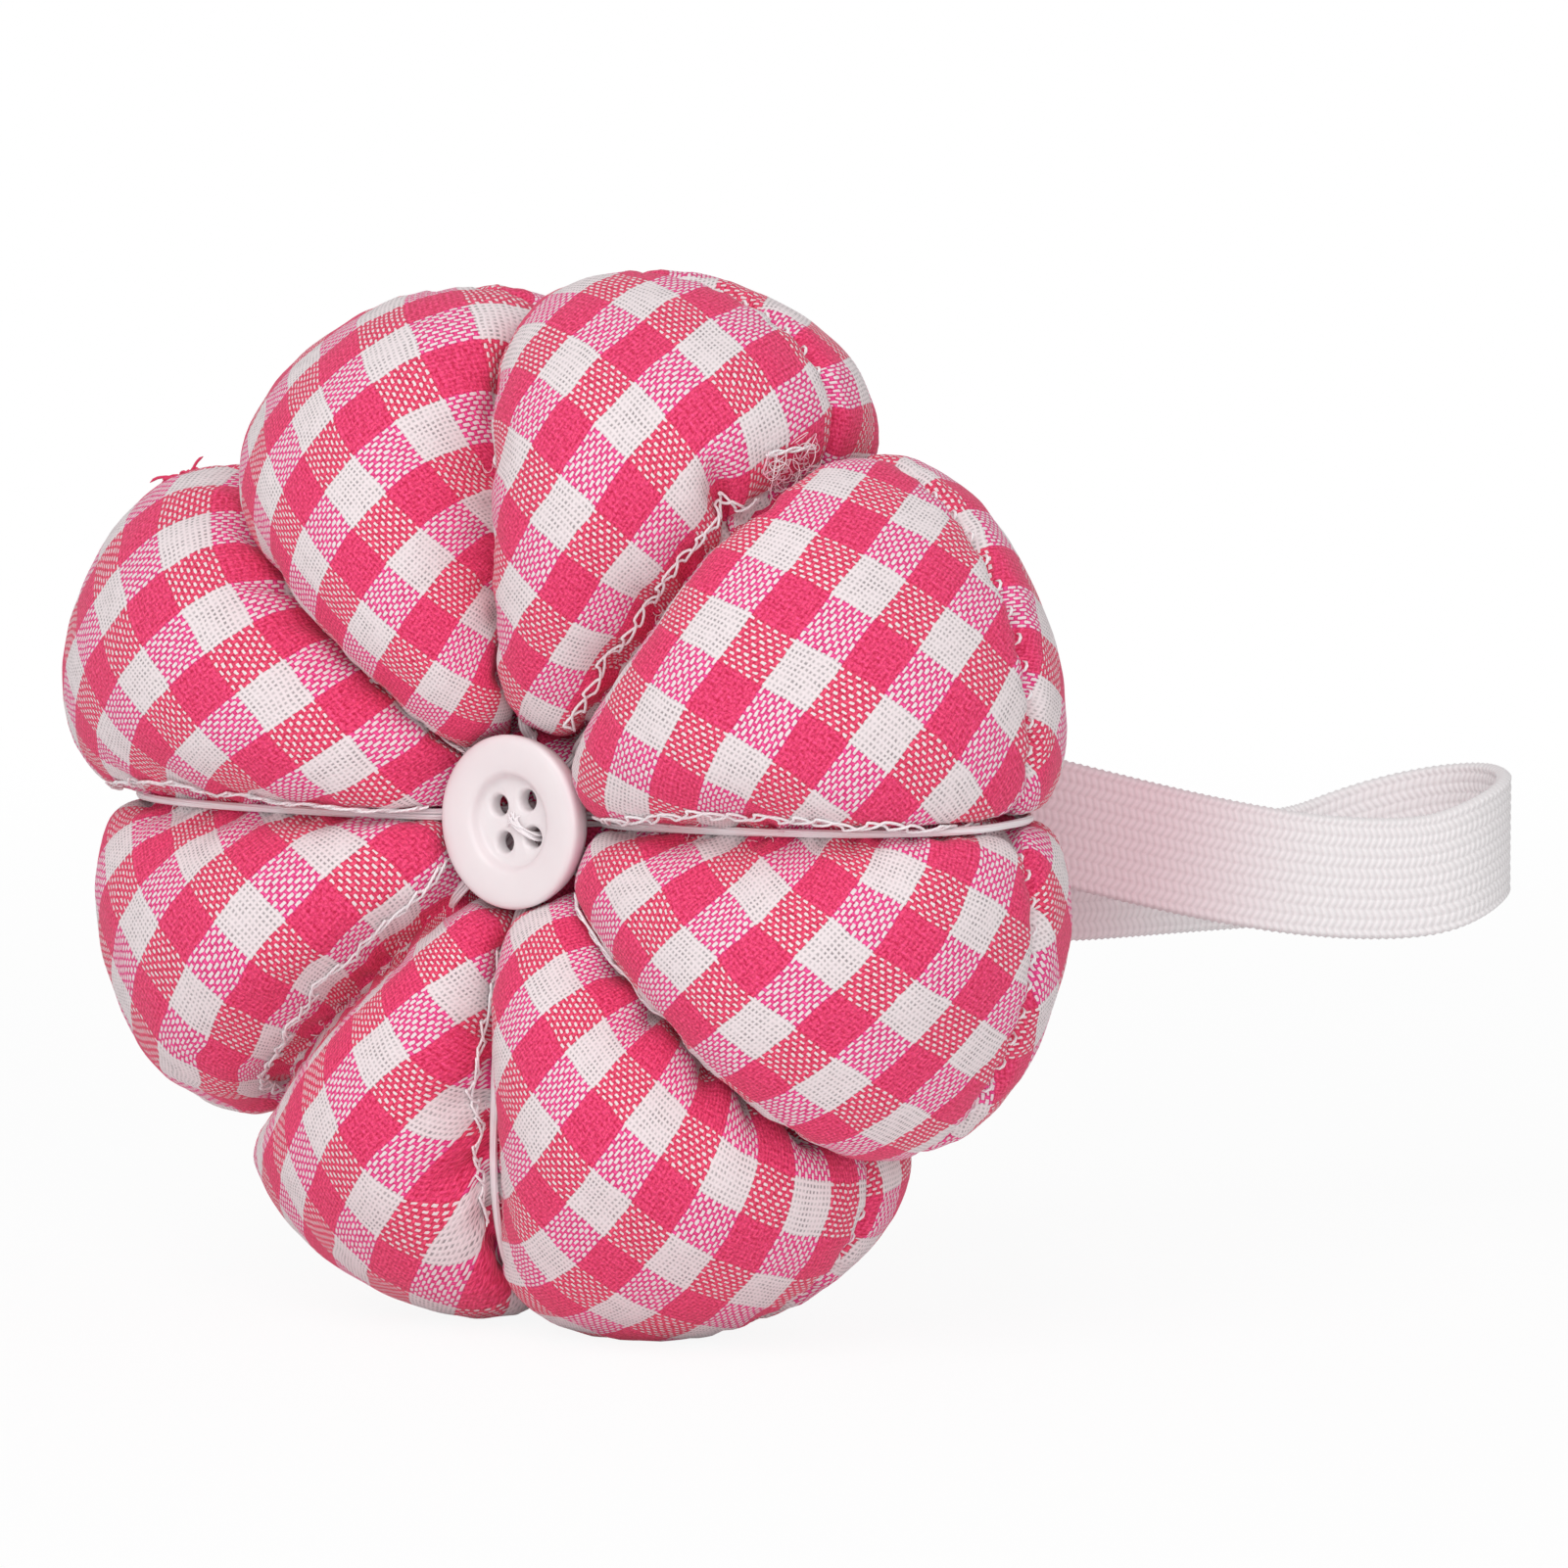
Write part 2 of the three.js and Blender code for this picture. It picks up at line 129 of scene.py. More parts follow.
tent = bpy.data.worlds.new("white_tent")
bpy.context.scene.world = tent
tent.use_nodes = True
tree = tent.node_tree
tree.nodes.clear()
rays = add(tree, "LightPath")
seen = add(tree, "Math", (rays.outputs["Is Camera Ray"], rays.outputs["Is Transmission Ray"]),
           operation="MAXIMUM")
soft = add(tree, "Background", {"Color": linear("#FFFFFF"), "Strength": 0.53})
clear = add(tree, "Background", {"Color": linear("#FFFFFF"), "Strength": 1.0})
add(tree, "OutputWorld", {"Surface": add(tree, "MixShader", (seen, soft, clear))})

lamp_aim = Vector((0, 0, 0.04))
for name, place, size, power in (("lamp_above", (0.1, -0.75, 0.8), 0.8, 4.3),
                                 ("lamp_camera", (0.62, -0.85, 0.3), 0.6, 2.45)):
    lamp = bpy.data.objects.new(name, bpy.data.lights.new(name, "AREA"))
    lamp.data.shape = "DISK"
    lamp.data.size = size
    lamp.data.energy = power
    lamp.location = place
    lamp.rotation_mode = "QUATERNION"
    lamp.rotation_quaternion = (lamp_aim - Vector(place)).to_track_quat("-Z", "Y")
    bpy.context.scene.collection.objects.link(lamp)


# ---------------------------------------------------------------------------------------------
# Gingham covers. Two discs of light plain-weave cotton, yarn-dyed in pink and white checks, sewn
# together round the rim, stuffed with fibre and drawn into eight petals by thread pulled tight in
# the grooves. The discs are cut flat here and pulled into shape by their fill and their threads.
# ---------------------------------------------------------------------------------------------
# Lengths are in mm from the bag's middle, with the button side towards -y. Petal k lies between
# grooves k and k + 1, which are counted round from the right, and a gap is a groove's open half.
table_height = -bag_middle[2]
groove_angle = np.radians([1, 51, 93, 138, 180, 224, 267, 316])
groove_end = np.append(groove_angle, groove_angle[0] + 2 * np.pi)
groove_reach = np.array([34.9, 32.4, 35.4, 32.2, 36, 33.4, 36, 32.5])
groove_height, groove_tautness = np.array([10.4, 9, 8.8, 8.8, 10, 8.8, 10, 8.8]), 2.6
gap_before = np.array([0.5, 1.6, 0.1, 0.1, 0.5, 0.1, 0.45, 0.1])
gap_after = np.array([0.5, 0.1, 0.1, 0.1, 0.5, 2.3, 0.45, 0.1])
mean_reach = 40
petal_extra = np.array([0, 0.5, 0.5, 3.5, 1.5, 0.6, 0, -0.5])
petal_reach = mean_reach + petal_extra
petal_slack = np.array([-0.4, 0.2, -0.2, 0.7, -0.35, -0.7, -0.1, 0])
rim_fullness, face_fullness, inner_fullness = 2.05, 3.0, 4.0
crown_height, crown_radius = 18.8, 19
dimple_height, dimple_radius = 5.8, 6.5
disc_radius, seam_margin, extra_cut = 56, 1.2, 1.25


def petal_ridge(turn, reach):
    """Distance from the bag's axis and height along it, down the middle of a petal."""
    out, up, power = np.cos(turn), np.sin(turn), 2 / inner_fullness
    far = np.where(out >= 0, (reach - crown_radius) * out,
                   (dimple_radius - crown_radius) * np.abs(out) ** power)
    tall = np.sign(up) * (dimple_height + (crown_height - dimple_height) * np.abs(up) ** power)
    return crown_radius + far, np.where(out >= 0, crown_height * up, tall)


def groove_floor(turn, groove):
    """Distance from the bag's axis and height along it, down a groove under its tight thread."""
    out, up, power = np.cos(turn), np.sin(turn), 2 / groove_tautness
    far = np.where(out >= 0, (groove_reach[groove] - crown_radius) * np.abs(out) ** power,
                   (crown_radius - dimple_radius) * out)
    outer = groove_height[groove] * np.sign(up) * np.abs(up) ** power
    inner = np.sign(up) * (dimple_height + (groove_height[groove] - dimple_height) * np.abs(up))
    return crown_radius + far, np.where(out >= 0, outer, inner)


def petal_form(turn, petal, across):
    """The stuffed petal between its two grooves, where across goes from -1 to 1."""
    far_a, tall_a = groove_floor(turn, petal)
    far_b, tall_b = groove_floor(turn, (petal + 1) % 8)
    far_c, tall_c = petal_ridge(turn, petal_reach[petal])
    fullness = rim_fullness + (face_fullness - rim_fullness) * np.abs(np.sin(turn))
    side, full = (across + 1) / 2, np.maximum(1 - np.abs(across) ** fullness, 0) ** (1 / fullness)
    far, tall = far_a + (far_b - far_a) * side, tall_a + (tall_b - tall_a) * side
    return far + (far_c - far) * full, tall + (tall_c - tall) * full


# One disc as rings of points, in eight sectors between the grooves.
cloth_step = 1.3
ring_radius = np.append(np.arange(1, int((disc_radius - seam_margin) / cloth_step)) * cloth_step,
                        [disc_radius - seam_margin, disc_radius])
disc = [(0.0, groove_angle[0], 0, -1.0)]
rings = [[[0] for _ in range(8)]]
for radius in ring_radius:
    per_petal = max(1, round(2 * np.pi * radius / (8 * cloth_step)))
    rings.append([])
    for number in range(8):
        rings[-1].append(list(range(len(disc), len(disc) + per_petal)))
        for step in range(per_petal):
            turned = groove_angle[number] + (groove_end[number + 1] - groove_angle[number]) * step / per_petal
            disc.append((radius, turned, number, 2 * step / per_petal - 1))
disc = np.array(disc)
disc_faces, face_petal = [], []
for inner, outer in zip(rings, rings[1:]):
    for number in range(8):
        a = inner[number] + [inner[(number + 1) % 8][0]] if inner is not rings[0] else [0]
        b = outer[number] + [outer[(number + 1) % 8][0]]
        i = j = 0
        while i < len(a) - 1 or j < len(b) - 1:
            inner_next = (i + 1) / (len(a) - 1) if i < len(a) - 1 else np.inf
            outer_next = (j + 1) / (len(b) - 1) if j < len(b) - 1 else np.inf
            face_petal.append(number)
            if outer_next <= inner_next:
                disc_faces.append((a[i], b[j], b[j + 1]))
                j += 1
            else:
                disc_faces.append((a[i], b[j], a[i + 1]))
                i += 1
disc_faces, face_petal = np.array(disc_faces), np.array(face_petal)

# Both discs laid on the petal form. The back one shares the rim's points with the front one.
disc_count = len(disc)
rim_first = rings[-1][0][0]
distance, angle, petal, across = disc[:, 0], disc[:, 1], disc[:, 2].astype(int), disc[:, 3]
ridge_turn = np.linspace(np.pi, 0, 400)
far, tall = petal_ridge(ridge_turn, mean_reach)
ridge_length = np.append(0, np.cumsum(np.hypot(np.diff(far), np.diff(tall)))) + dimple_radius
along = distance / disc_radius * ridge_length[-1]
far, tall = petal_form(np.interp(along, ridge_length, ridge_turn), petal, across)
far, tall = np.where(along < dimple_radius, along, far), np.where(along < dimple_radius, dimple_height, tall)
front = np.stack([far * np.cos(angle), -tall, far * np.sin(angle)], 1)
bag = np.concatenate([front, front[:rim_first] * [1, -1, 1]])
total = len(bag)
each = np.arange(disc_count)
both = np.append(each, each[:rim_first])
behind = np.where(each < rim_first, each + disc_count, each)
bag_faces = np.concatenate([disc_faces, behind[disc_faces][:, ::-1]])
bulge = np.maximum(1 - np.abs(across) ** rim_fullness, 0) ** (1 / rim_fullness)
cut = distance * (1 + extra_cut * petal_extra[petal] * bulge / disc_radius)
flat = np.stack([cut * np.cos(angle), cut * np.sin(angle)], 1)[both]

# Threads of the cloth resist stretch, give on the bias and crush easily; the rim is gathered.
cloth_crush, cloth_bend, cloth_bias, rim_gather, yarn_angle = 0.04, 0.1, 0.4, 0.78, np.radians(47)
sides = np.concatenate([bag_faces[:, [0, 1]], bag_faces[:, [1, 2]], bag_faces[:, [2, 0]]])
corners = np.concatenate([bag_faces[:, 2], bag_faces[:, 0], bag_faces[:, 1]])
sides.sort(1)
order = np.lexsort((sides[:, 1], sides[:, 0]))
sides, corners = sides[order], corners[order]
twin = np.flatnonzero((sides[1:] == sides[:-1]).all(1))
on_rim = ((sides >= rim_first) & (sides < disc_count)).all(1)
folds = np.stack([corners[twin], corners[twin + 1]], 1)[~on_rim[twin]]
threads, first = np.unique(sides, axis=0, return_index=True)
on_rim = on_rim[first]
lie = flat[threads[:, 0]] - flat[threads[:, 1]]
thread_length = np.linalg.norm(lie, axis=1) * np.where(on_rim, rim_gather, 1)
along_yarn = np.cos(2 * (np.arctan2(lie[:, 1], lie[:, 0]) - yarn_angle)) ** 2
thread_hold = np.where(on_rim, 1, cloth_bias + (1 - cloth_bias) * along_yarn)
fold_length = np.linalg.norm(flat[folds[:, 0]] - flat[folds[:, 1]], axis=1)
neighbours = np.bincount(threads.ravel(), minlength=total)
shares = neighbours + cloth_bend * np.bincount(folds.ravel(), minlength=total)

# How far the fill may push the cloth, measured from the crown circle at each angle round it.
mould_columns, mould_rows, mould_from = 60, 240, 6
mould_turn, mould_angle = np.linspace(np.pi, -np.pi, 721), np.linspace(-np.pi, np.pi, mould_rows + 1)
mould = np.zeros((8, mould_columns + 1, mould_rows + 1))
for number in range(8):
    for column, place in enumerate(np.linspace(-1, 1, mould_columns + 1)):
        far, tall = petal_form(mould_turn, number, place)
        far, tall = np.r_[0.5, far, 0.5] - crown_radius, np.r_[dimple_height, tall, -dimple_height]
        order = np.argsort(np.arctan2(tall, far))
        mould[number, column] = petal_slack[number] + np.interp(
            mould_angle, np.arctan2(tall, far)[order], np.hypot(far, tall)[order])

# Where each point of the cloth is held: in a groove, off its petal's two walls, at the rim, by the tie.
tied_radius, seat_radius, seat_height = 2, 6.45, 7
distance, angle, petal, across = distance[both], angle[both], petal[both], across[both]
in_groove = np.flatnonzero((across == -1) & (distance > 0))
groove = petal[in_groove]
groove_x, groove_z = np.cos(groove_angle[groove]), np.sin(groove_angle[groove])
in_petal = (across > -1) & (distance > 0)
after, width = (petal + 1) % 8, groove_end[petal + 1] - groove_angle[petal]
turned = angle - groove_angle[petal]
room_a = np.minimum(gap_after[petal], 0.5 * distance * np.sin(np.minimum(turned, np.pi / 2)))
room_b = np.minimum(gap_before[after], 0.5 * distance * np.sin(np.minimum(width - turned, np.pi / 2)))
wall_a = np.stack([-np.sin(groove_angle[petal]), np.cos(groove_angle[petal])], 1)
wall_b = np.stack([np.sin(groove_angle[after]), -np.cos(groove_angle[after])], 1)
rim = np.arange(rim_first, disc_count)
rim_reach, _ = petal_form(np.zeros(len(rim)), petal[rim], across[rim])
face_side = np.where(np.arange(total) < rim_first, -1, np.where(np.arange(total) < disc_count, 0, 1))
held = distance < tied_radius
held_place = bag[held].copy()


def hold(cloth):
    """Keeps the cloth under its threads, in its petals, on its fill, behind the button and off the table."""
    reach = np.hypot(cloth[rim, 0], cloth[rim, 2])
    cloth[np.ix_(rim, [0, 2])] *= np.minimum(1, rim_reach / reach)[:, None]
    far = cloth[in_groove, 0] * groove_x + cloth[in_groove, 2] * groove_z
    tall = np.abs(cloth[in_groove, 1])
    outside = np.maximum(far - crown_radius, 0) / (groove_reach[groove] - crown_radius)
    tight = np.maximum(outside ** groove_tautness + (tall / groove_height[groove]) ** groove_tautness, 1)
    pull = np.where(far > crown_radius, tight ** (-1 / groove_tautness), 1)
    hollow = np.clip(1 - ((crown_radius - far) / (crown_radius - dimple_radius)) ** 2, 0, 1)
    low = dimple_height + (groove_height[groove] - dimple_height) * np.sqrt(hollow)
    tall = np.where(far > crown_radius, tall * pull, np.minimum(tall, low))
    far = np.maximum(np.where(far > crown_radius, crown_radius + (far - crown_radius) * pull, far), 0.5)
    cloth[in_groove] = np.stack([far * groove_x, np.sign(cloth[in_groove, 1]) * tall, far * groove_z], 1)
    for wall, room in ((wall_a, room_a), (wall_b, room_b)):
        push = room - cloth[:, 0] * wall[:, 0] - cloth[:, 2] * wall[:, 1]
        cloth[:, [0, 2]] += np.where(in_petal, np.maximum(push, 0), 0)[:, None] * wall
    turned = np.mod(np.arctan2(cloth[:, 2], cloth[:, 0]) - groove_angle[0], 2 * np.pi) + groove_angle[0]
    here = np.clip(np.searchsorted(groove_end, turned, side="right") - 1, 0, 7)
    column = mould_columns * (turned - groove_end[here]) / (groove_end[here + 1] - groove_end[here])
    reach = np.hypot(cloth[:, 0], cloth[:, 2])
    from_crown = np.hypot(reach - crown_radius, cloth[:, 1])
    row = (np.arctan2(-cloth[:, 1], reach - crown_radius) + np.pi) / (2 * np.pi) * mould_rows
    i, j = np.clip(column.astype(int), 0, mould_columns - 1), np.clip(row.astype(int), 0, mould_rows - 1)
    u, v = column - i, row - j
    limit = ((mould[here, i, j] * (1 - u) + mould[here, i + 1, j] * u) * (1 - v)
             + (mould[here, i, j + 1] * (1 - u) + mould[here, i + 1, j + 1] * u) * v)
    shrink = np.where(reach > mould_from, np.minimum(1, limit / np.maximum(from_crown, 1e-6)), 1)
    drawn_in = crown_radius + (reach - crown_radius) * shrink
    cloth[:, [0, 2]] *= (drawn_in / np.maximum(reach, 1e-6))[:, None]
    cloth[:, 1] *= shrink
    seat = np.where(np.hypot(cloth[:, 0], cloth[:, 2]) < seat_radius, seat_height, np.inf)
    cloth[:, 1] = np.clip(cloth[:, 1], np.where(face_side > 0, 0, -seat), np.where(face_side < 0, 0, seat))
    cloth[held] = held_place
    cloth[:, 2] = np.maximum(cloth[:, 2], table_height)


def outward(cloth, faces):
    """The sum of the face normals at each point, as long as the area round the point."""
    a, b, c = (cloth[faces[:, k]] for k in range(3))
    normal = np.cross(b - a, c - a)
    return np.stack([np.bincount(faces.ravel(), np.repeat(normal[:, k], 3), len(cloth)) for k in range(3)], 1)


def pull_pairs(cloth, pairs, change):
    """Moves both ends of each pair along the line between them."""
    line = cloth[pairs[:, 0]] - cloth[pairs[:, 1]]
    length = np.linalg.norm(line, axis=1) + 1e-9
    move = -0.5 * (change(length) / length)[:, None] * line
    return np.stack([np.bincount(pairs[:, 0], move[:, k], total) - np.bincount(pairs[:, 1], move[:, k], total)
                     for k in range(3)], 1)


def thread_change(length):
    """How far each thread draws back, and gives a little where it is pushed together."""
    spare = length - thread_length
    return thread_hold * np.where(spare > 0, spare, cloth_crush * spare)


def fold_change(length):
    """How far each fold springs open."""
    return cloth_bend * np.minimum(length - fold_length, 0)


fill_steps = 140
fill_pressure, point_area, drift_kept, drift_limit = 0.015, 5.2 * cloth_step ** 2, 0.92, 0.5
pull_rounds, pull_strength, unevenness = 6, 1.6, 0.03
bag = bag + np.random.default_rng(3).normal(0, unevenness, bag.shape)
drift = np.zeros_like(bag)
for step in range(fill_steps):
    before = bag.copy()
    bag = bag + drift_kept * drift + fill_pressure * outward(bag, bag_faces) / point_area
    for _ in range(pull_rounds):
        pulled = pull_pairs(bag, threads, thread_change) + pull_pairs(bag, folds, fold_change)
        bag += pull_strength * pulled / shares[:, None]
        hold(bag)
    drift = np.clip(bag - before, -drift_limit, drift_limit)

# The edge of the lower left petal runs straight beside its open groove, so a chance fold is eased out.
eased_petal, eased_across, eased_from, eased_to, eased_times = 4, 0.3, 12, disc_radius - 5, 12
eased = np.flatnonzero((petal == eased_petal) & (across > eased_across) & (face_side < 0)
                       & (distance > eased_from) & (distance < eased_to))
for _ in range(eased_times):
    sums = np.stack([np.bincount(threads.ravel(), bag[threads[:, ::-1].ravel(), k], total)
                     for k in range(3)], 1)
    bag[eased] = (bag[eased] + (sums / neighbours[:, None])[eased]) / 2
# Behind, the edge of the dimple gives way where the lower corner of the swinging elastic passes it.
passed_x, passed_z, passed_width, passed_depth = -2.4, -7.7, 1.8, 0.45
passed = np.exp(-((bag[:, 0] - passed_x) ** 2 + (bag[:, 2] - passed_z) ** 2) / (2 * passed_width ** 2))
bag[:, 1] -= np.where(face_side > 0, passed_depth * passed, 0)


def unit(rows):
    """The same directions, each of length one."""
    return rows / np.linalg.norm(rows, axis=-1, keepdims=True)


# The seam allowances turn in at the rim.
seam_depth = 1.25
bag_normal = unit(outward(bag, bag_faces))
seam_line = bag[rim].copy()
seam_normal = bag_normal[rim].copy()
bag[rim] -= seam_depth * seam_normal


def make_piece(name, points, faces, corner_places, material):
    """A smooth mesh from millimetres round the bag's middle, with a place for each face corner."""
    mesh = bpy.data.meshes.new(name)
    mesh.from_pydata(((points + bag_middle) / 1000).tolist(), [], faces.tolist())
    mesh.uv_layers.new(name="lay").data.foreach_set("uv", corner_places.astype(np.float32).ravel())
    mesh.shade_smooth()
    mesh.materials.append(material)
    piece = bpy.data.objects.new(name, mesh)
    bpy.context.scene.collection.objects.link(piece)
    return piece


# Yarn-dyed gingham: matt, slightly fuzzy cotton in plain weave. A white thread passing over a dyed one
# shows as a short dash, longer along the warp. Where both threads lie low the darker dye shows, and the
# small holes between threads carry painted grey shade, strongest in white squares. Dyed yarn has a fine
# random grain, with painted shade where the weave lies low and painted light on its crests. A check is
# about 3.5 by 3.8 mm, 11 threads by 10, so the dashes have their real size and just show.
threads_per_check = {"warp": 11, "weft": 10}
white_yarn, dyed_warp, dyed_weft, dyed_both = (
    linear(code) for code in ("#EBDFE1", "#DC4267", "#E24488", "#E13C6C"))
low_grain_and_shade, high_grain_and_light = (0.8, 0.32, 0.5, 1.0), (1.28, 1.85, 1.55, 1.0)
gingham, tree = new_tree("yarn_dyed_gingham_cotton")
lay = add(tree, "UVMap", uv_map="lay")
for scale, sway in ((1.4, 0.12), (13.0, 0.035)):
    drawn = add(tree, "TexNoise", {"Vector": lay, "Scale": scale, "Detail": 2.0}).outputs["Color"]
    drawn = add(tree, "VectorMath", (drawn, (0.5, 0.5, 0.5)), operation="SUBTRACT")
    lay = add(tree, "VectorMath", (drawn, (sway, sway, 0.0), lay), operation="MULTIPLY_ADD")
on_lay = add(tree, "SeparateXYZ", (lay,)).outputs
# Each thread by its number: the distance from its middle, its crimp, its dye and how plump it is there.
whole, middle, crimp, dyed, plump = {}, {}, {}, {}, {}
for name, axis, other in (("warp", "X", "Y"), ("weft", "Y", "X")):
    per_check = threads_per_check[name]
    counted = add(tree, "Math", (on_lay[axis], per_check), operation="MULTIPLY")
    whole[name] = add(tree, "Math", (counted,), operation="FLOOR")
    within = add(tree, "Math", (counted,), operation="FRACT")
    middle[name] = add(tree, "Math", (within, 0.5), operation="SUBTRACT")
    arc = add(tree, "Math", (middle[name], np.pi), operation="MULTIPLY")
    crimp[name] = add(tree, "Math", (arc,), operation="COSINE")
    repeat = add(tree, "Math", (whole[name], 2 * per_check), operation="FLOORED_MODULO")
    dyed[name] = add(tree, "Math", (repeat, per_check - 0.5), operation="LESS_THAN")
    apart = add(tree, "Math", (whole[name], 7.3), operation="MULTIPLY")
    down = add(tree, "Math", (on_lay[other], 8.0), operation="MULTIPLY")
    spun = add(tree, "CombineXYZ", (apart, down))
    spun = add(tree, "TexNoise", {"Vector": spun, "Scale": 1.0, "Detail": 1.0})
    plump[name] = add(tree, "MapRange", (spun, 0.3, 0.7, 0.75, 1.25))
# Over one, under one: the height of warp and weft, and which of them lies on top.
odd = add(tree, "Math", (whole["warp"], whole["weft"]), operation="ADD")
odd = add(tree, "Math", (odd, 2.0), operation="FLOORED_MODULO")
over = add(tree, "Math", (odd, -2.0, 1.0), operation="MULTIPLY_ADD")
height = {}
for name, other, swing, half, proud in (("warp", "weft", 0.5, 0.31, 0.2),
                                        ("weft", "warp", -0.5, 0.225, 0.05)):
    wave = add(tree, "Math", (over, crimp[other]), operation="MULTIPLY")
    wave = add(tree, "Math", (wave, swing, proud), operation="MULTIPLY_ADD")
    edge = add(tree, "Math", (plump[name], half), operation="MULTIPLY")
    ratio = add(tree, "Math", (middle[name], edge), operation="DIVIDE")
    arch = add(tree, "Math", (ratio, ratio), operation="MULTIPLY")
    arch = add(tree, "Math", (arch, -0.6, 0.6), operation="MULTIPLY_ADD")
    lost = add(tree, "Math", (arch, wave), operation="MINIMUM")
    lost = add(tree, "Math", (lost, 0.0), operation="MINIMUM")
    raised = add(tree, "Math", (wave, arch), operation="ADD")
    height[name] = add(tree, "Math", (lost, 12.0, raised), operation="MULTIPLY_ADD")
weft_over = add(tree, "Math", (height["weft"], height["warp"]), operation="GREATER_THAN")
top = add(tree, "Math", (height["weft"], height["warp"]), operation="MAXIMUM")
# The dye of the thread on top; where both threads lie low, the darker of the two dyes, partly fuzz of the
# dyed thread and partly painted shade and pink bounce light in the gap.
warp_colour = add(tree, "Mix", (dyed["warp"], white_yarn, dyed_warp), data_type="RGBA")
weft_colour = add(tree, "Mix", (dyed["weft"], white_yarn, dyed_weft), data_type="RGBA")
yarn = add(tree, "Mix", (weft_over, warp_colour, weft_colour), data_type="RGBA")
gap_fuzz_and_shade_colour = add(tree, "Mix", (1.0, warp_colour, weft_colour), data_type="RGBA", blend_type="DARKEN")
sunk = add(tree, "MapRange", (top, -0.2, 0.3, 1.0, 0.06))
yarn = add(tree, "Mix", (sunk, yarn, gap_fuzz_and_shade_colour), data_type="RGBA")
solid = add(tree, "Math", (dyed["warp"], dyed["weft"]), operation="MULTIPLY")
solid = add(tree, "Math", (solid, 0.85), operation="MULTIPLY")
yarn = add(tree, "Mix", (solid, yarn, dyed_both), data_type="RGBA")
any_dyed = add(tree, "Math", (dyed["warp"], dyed["weft"]), operation="MAXIMUM")
# The grain of dyed yarn, with painted shade in its hollows and painted light on its crests; the fuzz of white
# squares; and painted shade in the small holes between threads.
fuzz = add(tree, "TexNoise", {"Vector": lay, "Scale": 14.0, "Detail": 3.0, "Roughness": 0.75})
fuzz = add(tree, "MapRange", (fuzz, 0.33, 0.67, -1.0, 1.0))
# Painted shade and light: dyed yarn is darker where the weave lies low and paler on its crests, mixed with
# random grain.
relief = add(tree, "MapRange", (top, 0.1, 1.2, 0.34, 0.68))
grain_and_relief_shade = add(tree, "Math", (fuzz, 0.52, relief), operation="MULTIPLY_ADD", use_clamp=True)
grain_and_relief_shade = add(tree, "Mix", (grain_and_relief_shade, low_grain_and_shade, high_grain_and_light), data_type="RGBA")
shows_dye = add(tree, "Mix", (weft_over, dyed["warp"], dyed["weft"]))
yarn = add(tree, "Mix", (shows_dye, yarn, grain_and_relief_shade), data_type="RGBA", blend_type="MULTIPLY")
loud = add(tree, "Math", (any_dyed, 0.04, 0.03), operation="MULTIPLY_ADD")
fuzz = add(tree, "Math", (fuzz, loud, 1.0), operation="MULTIPLY_ADD")
# Painted shade in the holes between threads, in random patches, weaker in dyed squares.
off_warp, off_weft = (add(tree, "Math", (middle[name],), operation="ABSOLUTE") for name in ("warp", "weft"))
hole = add(tree, "Math", (off_warp, off_weft), operation="MINIMUM")
hole = add(tree, "MapRange", (hole, 0.16, 0.36))
hole_shade_patches = add(tree, "TexNoise", {"Vector": lay, "Scale": 3.5, "Detail": 1.0})
hole_shade_patches = add(tree, "MapRange", (hole_shade_patches, 0.35, 0.65, 0.22, 0.62))
hole = add(tree, "Math", (hole, hole_shade_patches), operation="MULTIPLY")
plain = add(tree, "Math", (any_dyed, -0.7, 1.0), operation="MULTIPLY_ADD")
hole = add(tree, "Math", (hole, plain), operation="MULTIPLY")
left_by_hole_shade = add(tree, "Math", (1.0, hole), operation="SUBTRACT")
shade = add(tree, "Math", (fuzz, left_by_hole_shade), operation="MULTIPLY")
shade = add(tree, "CombineColor", (shade, shade, shade))
yarn = add(tree, "Mix", (1.0, yarn, shade), data_type="RGBA", blend_type="MULTIPLY")
relief = add(tree, "Math", (top, -0.4), operation="MAXIMUM")
bump = add(tree, "Bump", {"Height": relief, "Strength": 0.3, "Distance": 0.0001})
cotton = add(tree, "BsdfPrincipled", {"Base Color": yarn, "Roughness": 0.85, "Specular IOR Level": 0.25,
                                      "Sheen Weight": 0.1, "Sheen Roughness": 0.5, "Normal": bump})
add(tree, "OutputMaterial", {"Surface": cotton})

# How the checks lie on each petal: a place on the flat disc, then for warp and weft the direction
# across the stripes, the check's width, the stripes' shift there, and how they bend away from it.
front_lay = np.array([
    [36.8, 16.0, 147.8, 3.296, 0.771, -0.003, -0.081, -0.042, 58.6, 3.880, -0.721, 0.001, -0.154, 0.159],
    [14.0, 35.7, 149.4, 3.244, 0.768, 0.060, -0.183, -0.160, 52.3, 3.786, 0.378, 0.055, -0.205, 0.067],
    [-11.4, 32.7, 134.6, 3.452, 0.840, 0.168, -0.056, -0.196, 41.0, 3.193, -0.763, -0.401, -0.455, -0.072],
    [-32.2, 13.1, 137.0, 3.521, 0.393, 0.070, 0.074, -0.456, 46.0, 3.670, 0.178, -0.175, -0.439, -0.093],
    [-30.0, -11.5, 134.7, 3.645, -0.884, 0.108, 0.102, -0.155, 37.9, 3.971, 0.357, 0.016, -0.351, 0.484],
    [-10.6, -31.6, 135.8, 3.322, -0.340, 0.494, -0.177, 0.031, 42.2, 4.103, 0.056, -1.151, 0.665, 0.087],
    [15.4, -33.7, 133.2, 3.307, 0.827, -0.123, -0.255, -0.033, 39.2, 3.605, -0.191, -0.127, -0.040, 0.028],
    [37.3, -10.7, 135.3, 3.345, 0.804, -0.000, -0.014, -0.235, 51.6, 3.581, 0.481, 0.056, -0.060, 0.091]])
back_lay = np.array([[0, 0, 133, 3.45, 0.1, 0, 0, 0, 43, 3.8, 0.4, 0, 0, 0]] * 8)


